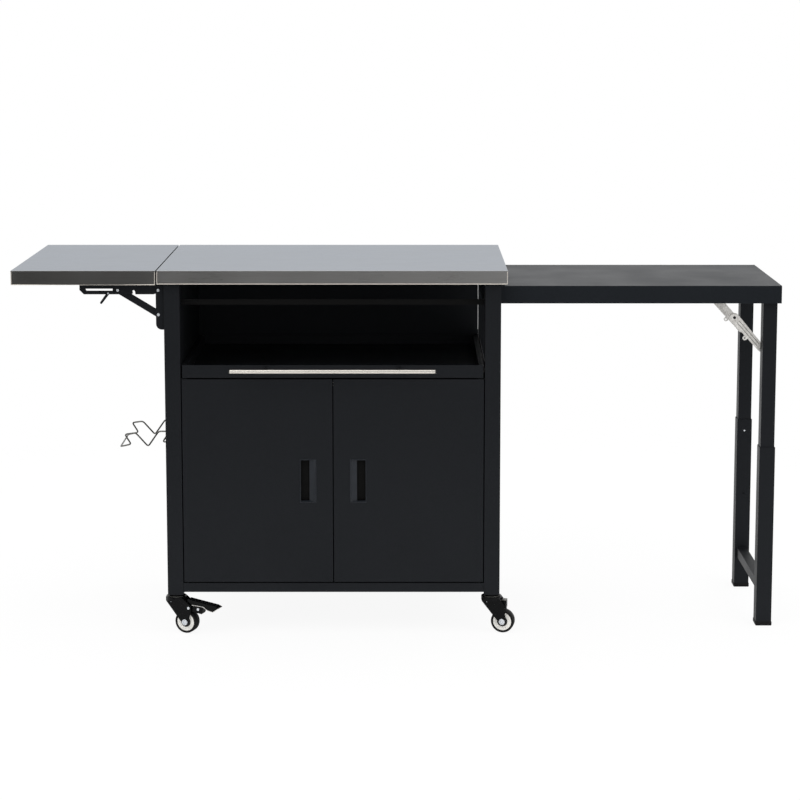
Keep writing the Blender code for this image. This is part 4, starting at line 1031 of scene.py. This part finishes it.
class CART_OT_screw_panels(Operator):
    """Screws the panels on, laps the back panel's two edges and fits the door catch's magnet"""

    bl_idname = "cart.screw_panels"
    bl_label = "Screw the panels"

    ROWS = 5
    TOP_GAP = 40 * MM
    LAP_WIDTH = 7 * MM
    LAP_THICK = 1 * MM
    LAP_SUNK = 0.2 * MM
    LAP_ROUNDING = 0.3 * MM
    CRACK_LEFT_OPEN = 1.5 * MM
    POLE_HALF = 22 * MM
    POLE_THICK = 1.5 * MM
    POLE_PITCH = 7 * MM
    POLE_PROUD = 0.3 * MM
    POLE_ROUNDING = 0.2 * MM

    def screws(self, node, axis, way):
        """Two columns of screws down a panel that faces along an axis."""
        low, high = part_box(node)
        inset = sizes().screw_inset
        pitch = (high.z - low.z - 2 * inset - self.TOP_GAP) / (self.ROWS - 1)
        other = 1 - axis
        spots = []
        for column in (low[other] + inset, high[other] - inset):
            for row in range(self.ROWS):
                spot = Vector((0, 0, low.z + inset + pitch * row))
                spot[axis] = high[axis] if way > 0 else low[axis]
                spot[other] = column
                direction = Vector((0, 0, 0))
                direction[axis] = way
                spots.append((spot, direction))
        profile = sized(BUTTON_HEAD, sizes().screw_radius, sizes().screw_height)
        heads(f"{node}_screws", spots, profile, "satin_black_powder_coat", "frame", sides=18)

    def execute(self, context):
        self.screws("left_side_panel", 0, -1)
        self.screws("right_side_panel", 0, 1)
        self.screws("back_panel", 1, 1)
        low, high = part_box("back_panel")
        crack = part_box("rear_right_post")[0].x - self.CRACK_LEFT_OPEN
        laps = [
            ((x0, high.y - self.LAP_SUNK, low.z), (x0 + self.LAP_WIDTH, high.y + self.LAP_THICK, high.z))
            for x0 in (low.x - self.LAP_WIDTH / 2, crack - self.LAP_WIDTH)
        ]
        blocks("back_panel_lap", laps, self.LAP_ROUNDING, "satin_black_powder_coat", "frame")
        low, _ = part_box("door_catch")
        centre = middle("door_catch")
        half = self.POLE_THICK / 2
        poles = [
            ((centre.x - self.POLE_HALF, low.y - self.POLE_PROUD, z - half),
             (centre.x + self.POLE_HALF, centre.y, z + half))
            for z in (centre.z - self.POLE_PITCH / 2, centre.z + self.POLE_PITCH / 2)
        ]
        blocks("catch_poles", poles, self.POLE_ROUNDING, "cloudy_zinc_plate", "frame")
        return {"FINISHED"}


class CART_OT_build_stage(Operator):
    """Sets the pale floor, the soft studio light and the camera"""

    bl_idname = "cart.build_stage"
    bl_label = "Build the stage"

    FLOOR_RADIUS = 2.4
    FLOOR_FADE = 0.9
    FLOOR_VEIL = 0.92
    FLOOR_DROP = 0.5 * MM
    AMBIENT = 0.9
    # How a mirrored direction brightens toward the back, the right and the top: start, end and most.
    FRONT = ("Y", "SMOOTHSTEP", -0.75, 0.15, 1.0)
    RIGHT = ("X", "LINEAR", -0.16, 0.20, 0.49)
    ABOVE = ("Z", "SMOOTHSTEP", 0.1, 0.45, 0.6)
    # Name, place, width in metres and power in watts.
    LAMPS = (
        ("key_box", (-1.8, -2.6, 3.6), 2.6, 38.0), ("fill_box", (2.6, -1.6, 3.2), 2.2, 20.0),
        ("top_box", (0.2, 0.6, 3.4), 2.4, 22.0),
    )
    LAMP_AIM = (0, 0, 0.5)
    CAMERA_PLACE = (0.0129, -5.2789, 1.5409)
    CAMERA_PITCH = -7.569
    CAMERA_LENS = 95.4
    CAMERA_SHIFT = (-0.00535, -0.15)

    def execute(self, context):
        self.light_world(context)
        self.lay_floor(context)
        self.hang_lamps(context)
        self.set_camera(context)
        context.scene.view_settings.view_transform = "Standard"
        return {"FINISHED"}

    def light_world(self, context):
        """White backdrop for what looks at it, with the dim side of the studio in front of the cart."""
        world = bpy.data.worlds.new("studio")
        context.scene.world = world
        world.use_nodes = True
        tree = world.node_tree
        tree.nodes.clear()
        path = add_node(tree, "ShaderNodeLightPath").outputs
        direction = add_node(tree, "ShaderNodeTexCoord").outputs["Generated"]
        way = add_node(tree, "ShaderNodeSeparateXYZ", inputs={"Vector": direction}).outputs
        front, right, above = [
            add_node(tree, "ShaderNodeMapRange", {"interpolation_type": kind}, {
                "Value": way[axis], "From Min": start, "From Max": end, "To Min": 0.0, "To Max": most,
            }).outputs["Result"] for axis, kind, start, end, most in (self.FRONT, self.RIGHT, self.ABOVE)
        ]
        dim = add_node(tree, "ShaderNodeMix", {"data_type": "FLOAT"}, {0: above, 2: right, 3: 1.0})
        room = add_node(tree, "ShaderNodeMix", {"data_type": "FLOAT"}, {0: front, 2: dim.outputs[0], 3: 1.0})
        shiny = add_node(tree, "ShaderNodeMath", {"operation": "MAXIMUM"}, {
            0: path["Is Glossy Ray"], 1: path["Is Transmission Ray"],
        })
        seen, mirrored, ambient = [
            add_node(tree, "ShaderNodeBackground", inputs={"Color": WHITE, "Strength": strength}).outputs[0]
            for strength in (1.0, room.outputs[0], self.AMBIENT)
        ]
        unseen = add_node(tree, "ShaderNodeMixShader", inputs={0: shiny.outputs[0], 1: ambient, 2: mirrored})
        sky = add_node(tree, "ShaderNodeMixShader", inputs={
            0: path["Is Camera Ray"], 1: unseen.outputs[0], 2: seen,
        })
        add_node(tree, "ShaderNodeOutputWorld", inputs={"Surface": sky.outputs[0]})

    def lay_floor(self, context):
        """A pale disc that fades into the backdrop and keeps the cart's shadow under a white veil."""
        material = bpy.data.materials.new("studio_floor")
        material.use_nodes = True
        tree = material.node_tree
        tree.nodes.clear()
        here = add_node(tree, "ShaderNodeTexCoord").outputs["Object"]
        reach = add_node(tree, "ShaderNodeVectorMath", {"operation": "LENGTH"}, {0: here}).outputs["Value"]
        fade = add_node(tree, "ShaderNodeMapRange", {"interpolation_type": "SMOOTHSTEP"}, {
            "Value": reach, "From Min": self.FLOOR_RADIUS - self.FLOOR_FADE, "From Max": self.FLOOR_RADIUS,
            "To Min": 0.0, "To Max": 1.0,
        })
        path = add_node(tree, "ShaderNodeLightPath").outputs
        veil = add_node(tree, "ShaderNodeMath", {"operation": "MULTIPLY"}, {
            0: path["Is Camera Ray"], 1: self.FLOOR_VEIL,
        })
        paint = add_node(tree, "ShaderNodeBsdfDiffuse", inputs={"Color": colours().floor})
        white = add_node(tree, "ShaderNodeEmission", inputs={"Color": WHITE, "Strength": 1.0})
        veiled = add_node(tree, "ShaderNodeMixShader", inputs={
            0: veil.outputs[0], 1: paint.outputs[0], 2: white.outputs[0],
        })
        clear = add_node(tree, "ShaderNodeBsdfTransparent")
        faded = add_node(tree, "ShaderNodeMixShader", inputs={
            0: fade.outputs["Result"], 1: veiled.outputs[0], 2: clear.outputs[0],
        })
        add_node(tree, "ShaderNodeOutputMaterial", inputs={"Surface": faded.outputs[0]})
        shape = bmesh.new()
        bmesh.ops.create_circle(shape, cap_ends=True, segments=96, radius=self.FLOOR_RADIUS)
        mesh = bpy.data.meshes.new("studio_floor")
        shape.to_mesh(mesh)
        shape.free()
        mesh.materials.append(material)
        floor = bpy.data.objects.new("studio_floor", mesh)
        floor.location.z = -self.FLOOR_DROP
        context.scene.collection.objects.link(floor)

    def hang_lamps(self, context):
        """Three large soft boxes above the cart, so that it casts only a faint shadow."""
        for name, place, size, power in self.LAMPS:
            lamp = bpy.data.lights.new(name, "AREA")
            lamp.size = size
            lamp.energy = power
            made = bpy.data.objects.new(name, lamp)
            made.location = place
            aim = Vector(self.LAMP_AIM) - Vector(place)
            made.rotation_euler = aim.to_track_quat("-Z", "Y").to_euler()
            context.scene.collection.objects.link(made)

    def set_camera(self, context):
        camera = bpy.data.cameras.new("camera")
        camera.lens = self.CAMERA_LENS
        camera.shift_x, camera.shift_y = self.CAMERA_SHIFT
        made = bpy.data.objects.new("camera", camera)
        made.location = self.CAMERA_PLACE
        made.rotation_euler = (radians(90 + self.CAMERA_PITCH), 0, 0)
        context.scene.collection.objects.link(made)
        context.scene.camera = made


class CART_PT_panel(Panel):
    """Lists the steps that finish the cart"""

    bl_label = "Grill Cart"
    bl_idname = "CART_PT_panel"
    bl_space_type = "VIEW_3D"
    bl_region_type = "UI"
    bl_category = "Grill Cart"

    def draw(self, context):
        for group in (context.scene.cart_sizes, context.scene.cart_colours):
            for key in group.__annotations__:
                self.layout.prop(group, key)
        for step in STEPS:
            self.layout.operator(step.bl_idname)


STEPS = (
    CART_OT_coat_frame, CART_OT_fold_hems, CART_OT_fit_handle, CART_OT_mould_pulls, CART_OT_rivet_brackets,
    CART_OT_press_braces, CART_OT_finish_legs, CART_OT_mount_casters, CART_OT_screw_panels,
    CART_OT_build_stage,
)
CLASSES = (CartColours, CartSizes, *STEPS, CART_PT_panel)


def register():
    for each in CLASSES:
        bpy.utils.register_class(each)
    bpy.types.Scene.cart_colours = PointerProperty(type=CartColours)
    bpy.types.Scene.cart_sizes = PointerProperty(type=CartSizes)


def unregister():
    del bpy.types.Scene.cart_sizes
    del bpy.types.Scene.cart_colours
    for each in reversed(CLASSES):
        bpy.utils.unregister_class(each)


def main():
    register()
    for step in STEPS:
        group, name = step.bl_idname.split(".")
        getattr(getattr(bpy.ops, group), name)()
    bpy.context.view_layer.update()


if __name__ == "__main__":
    main()
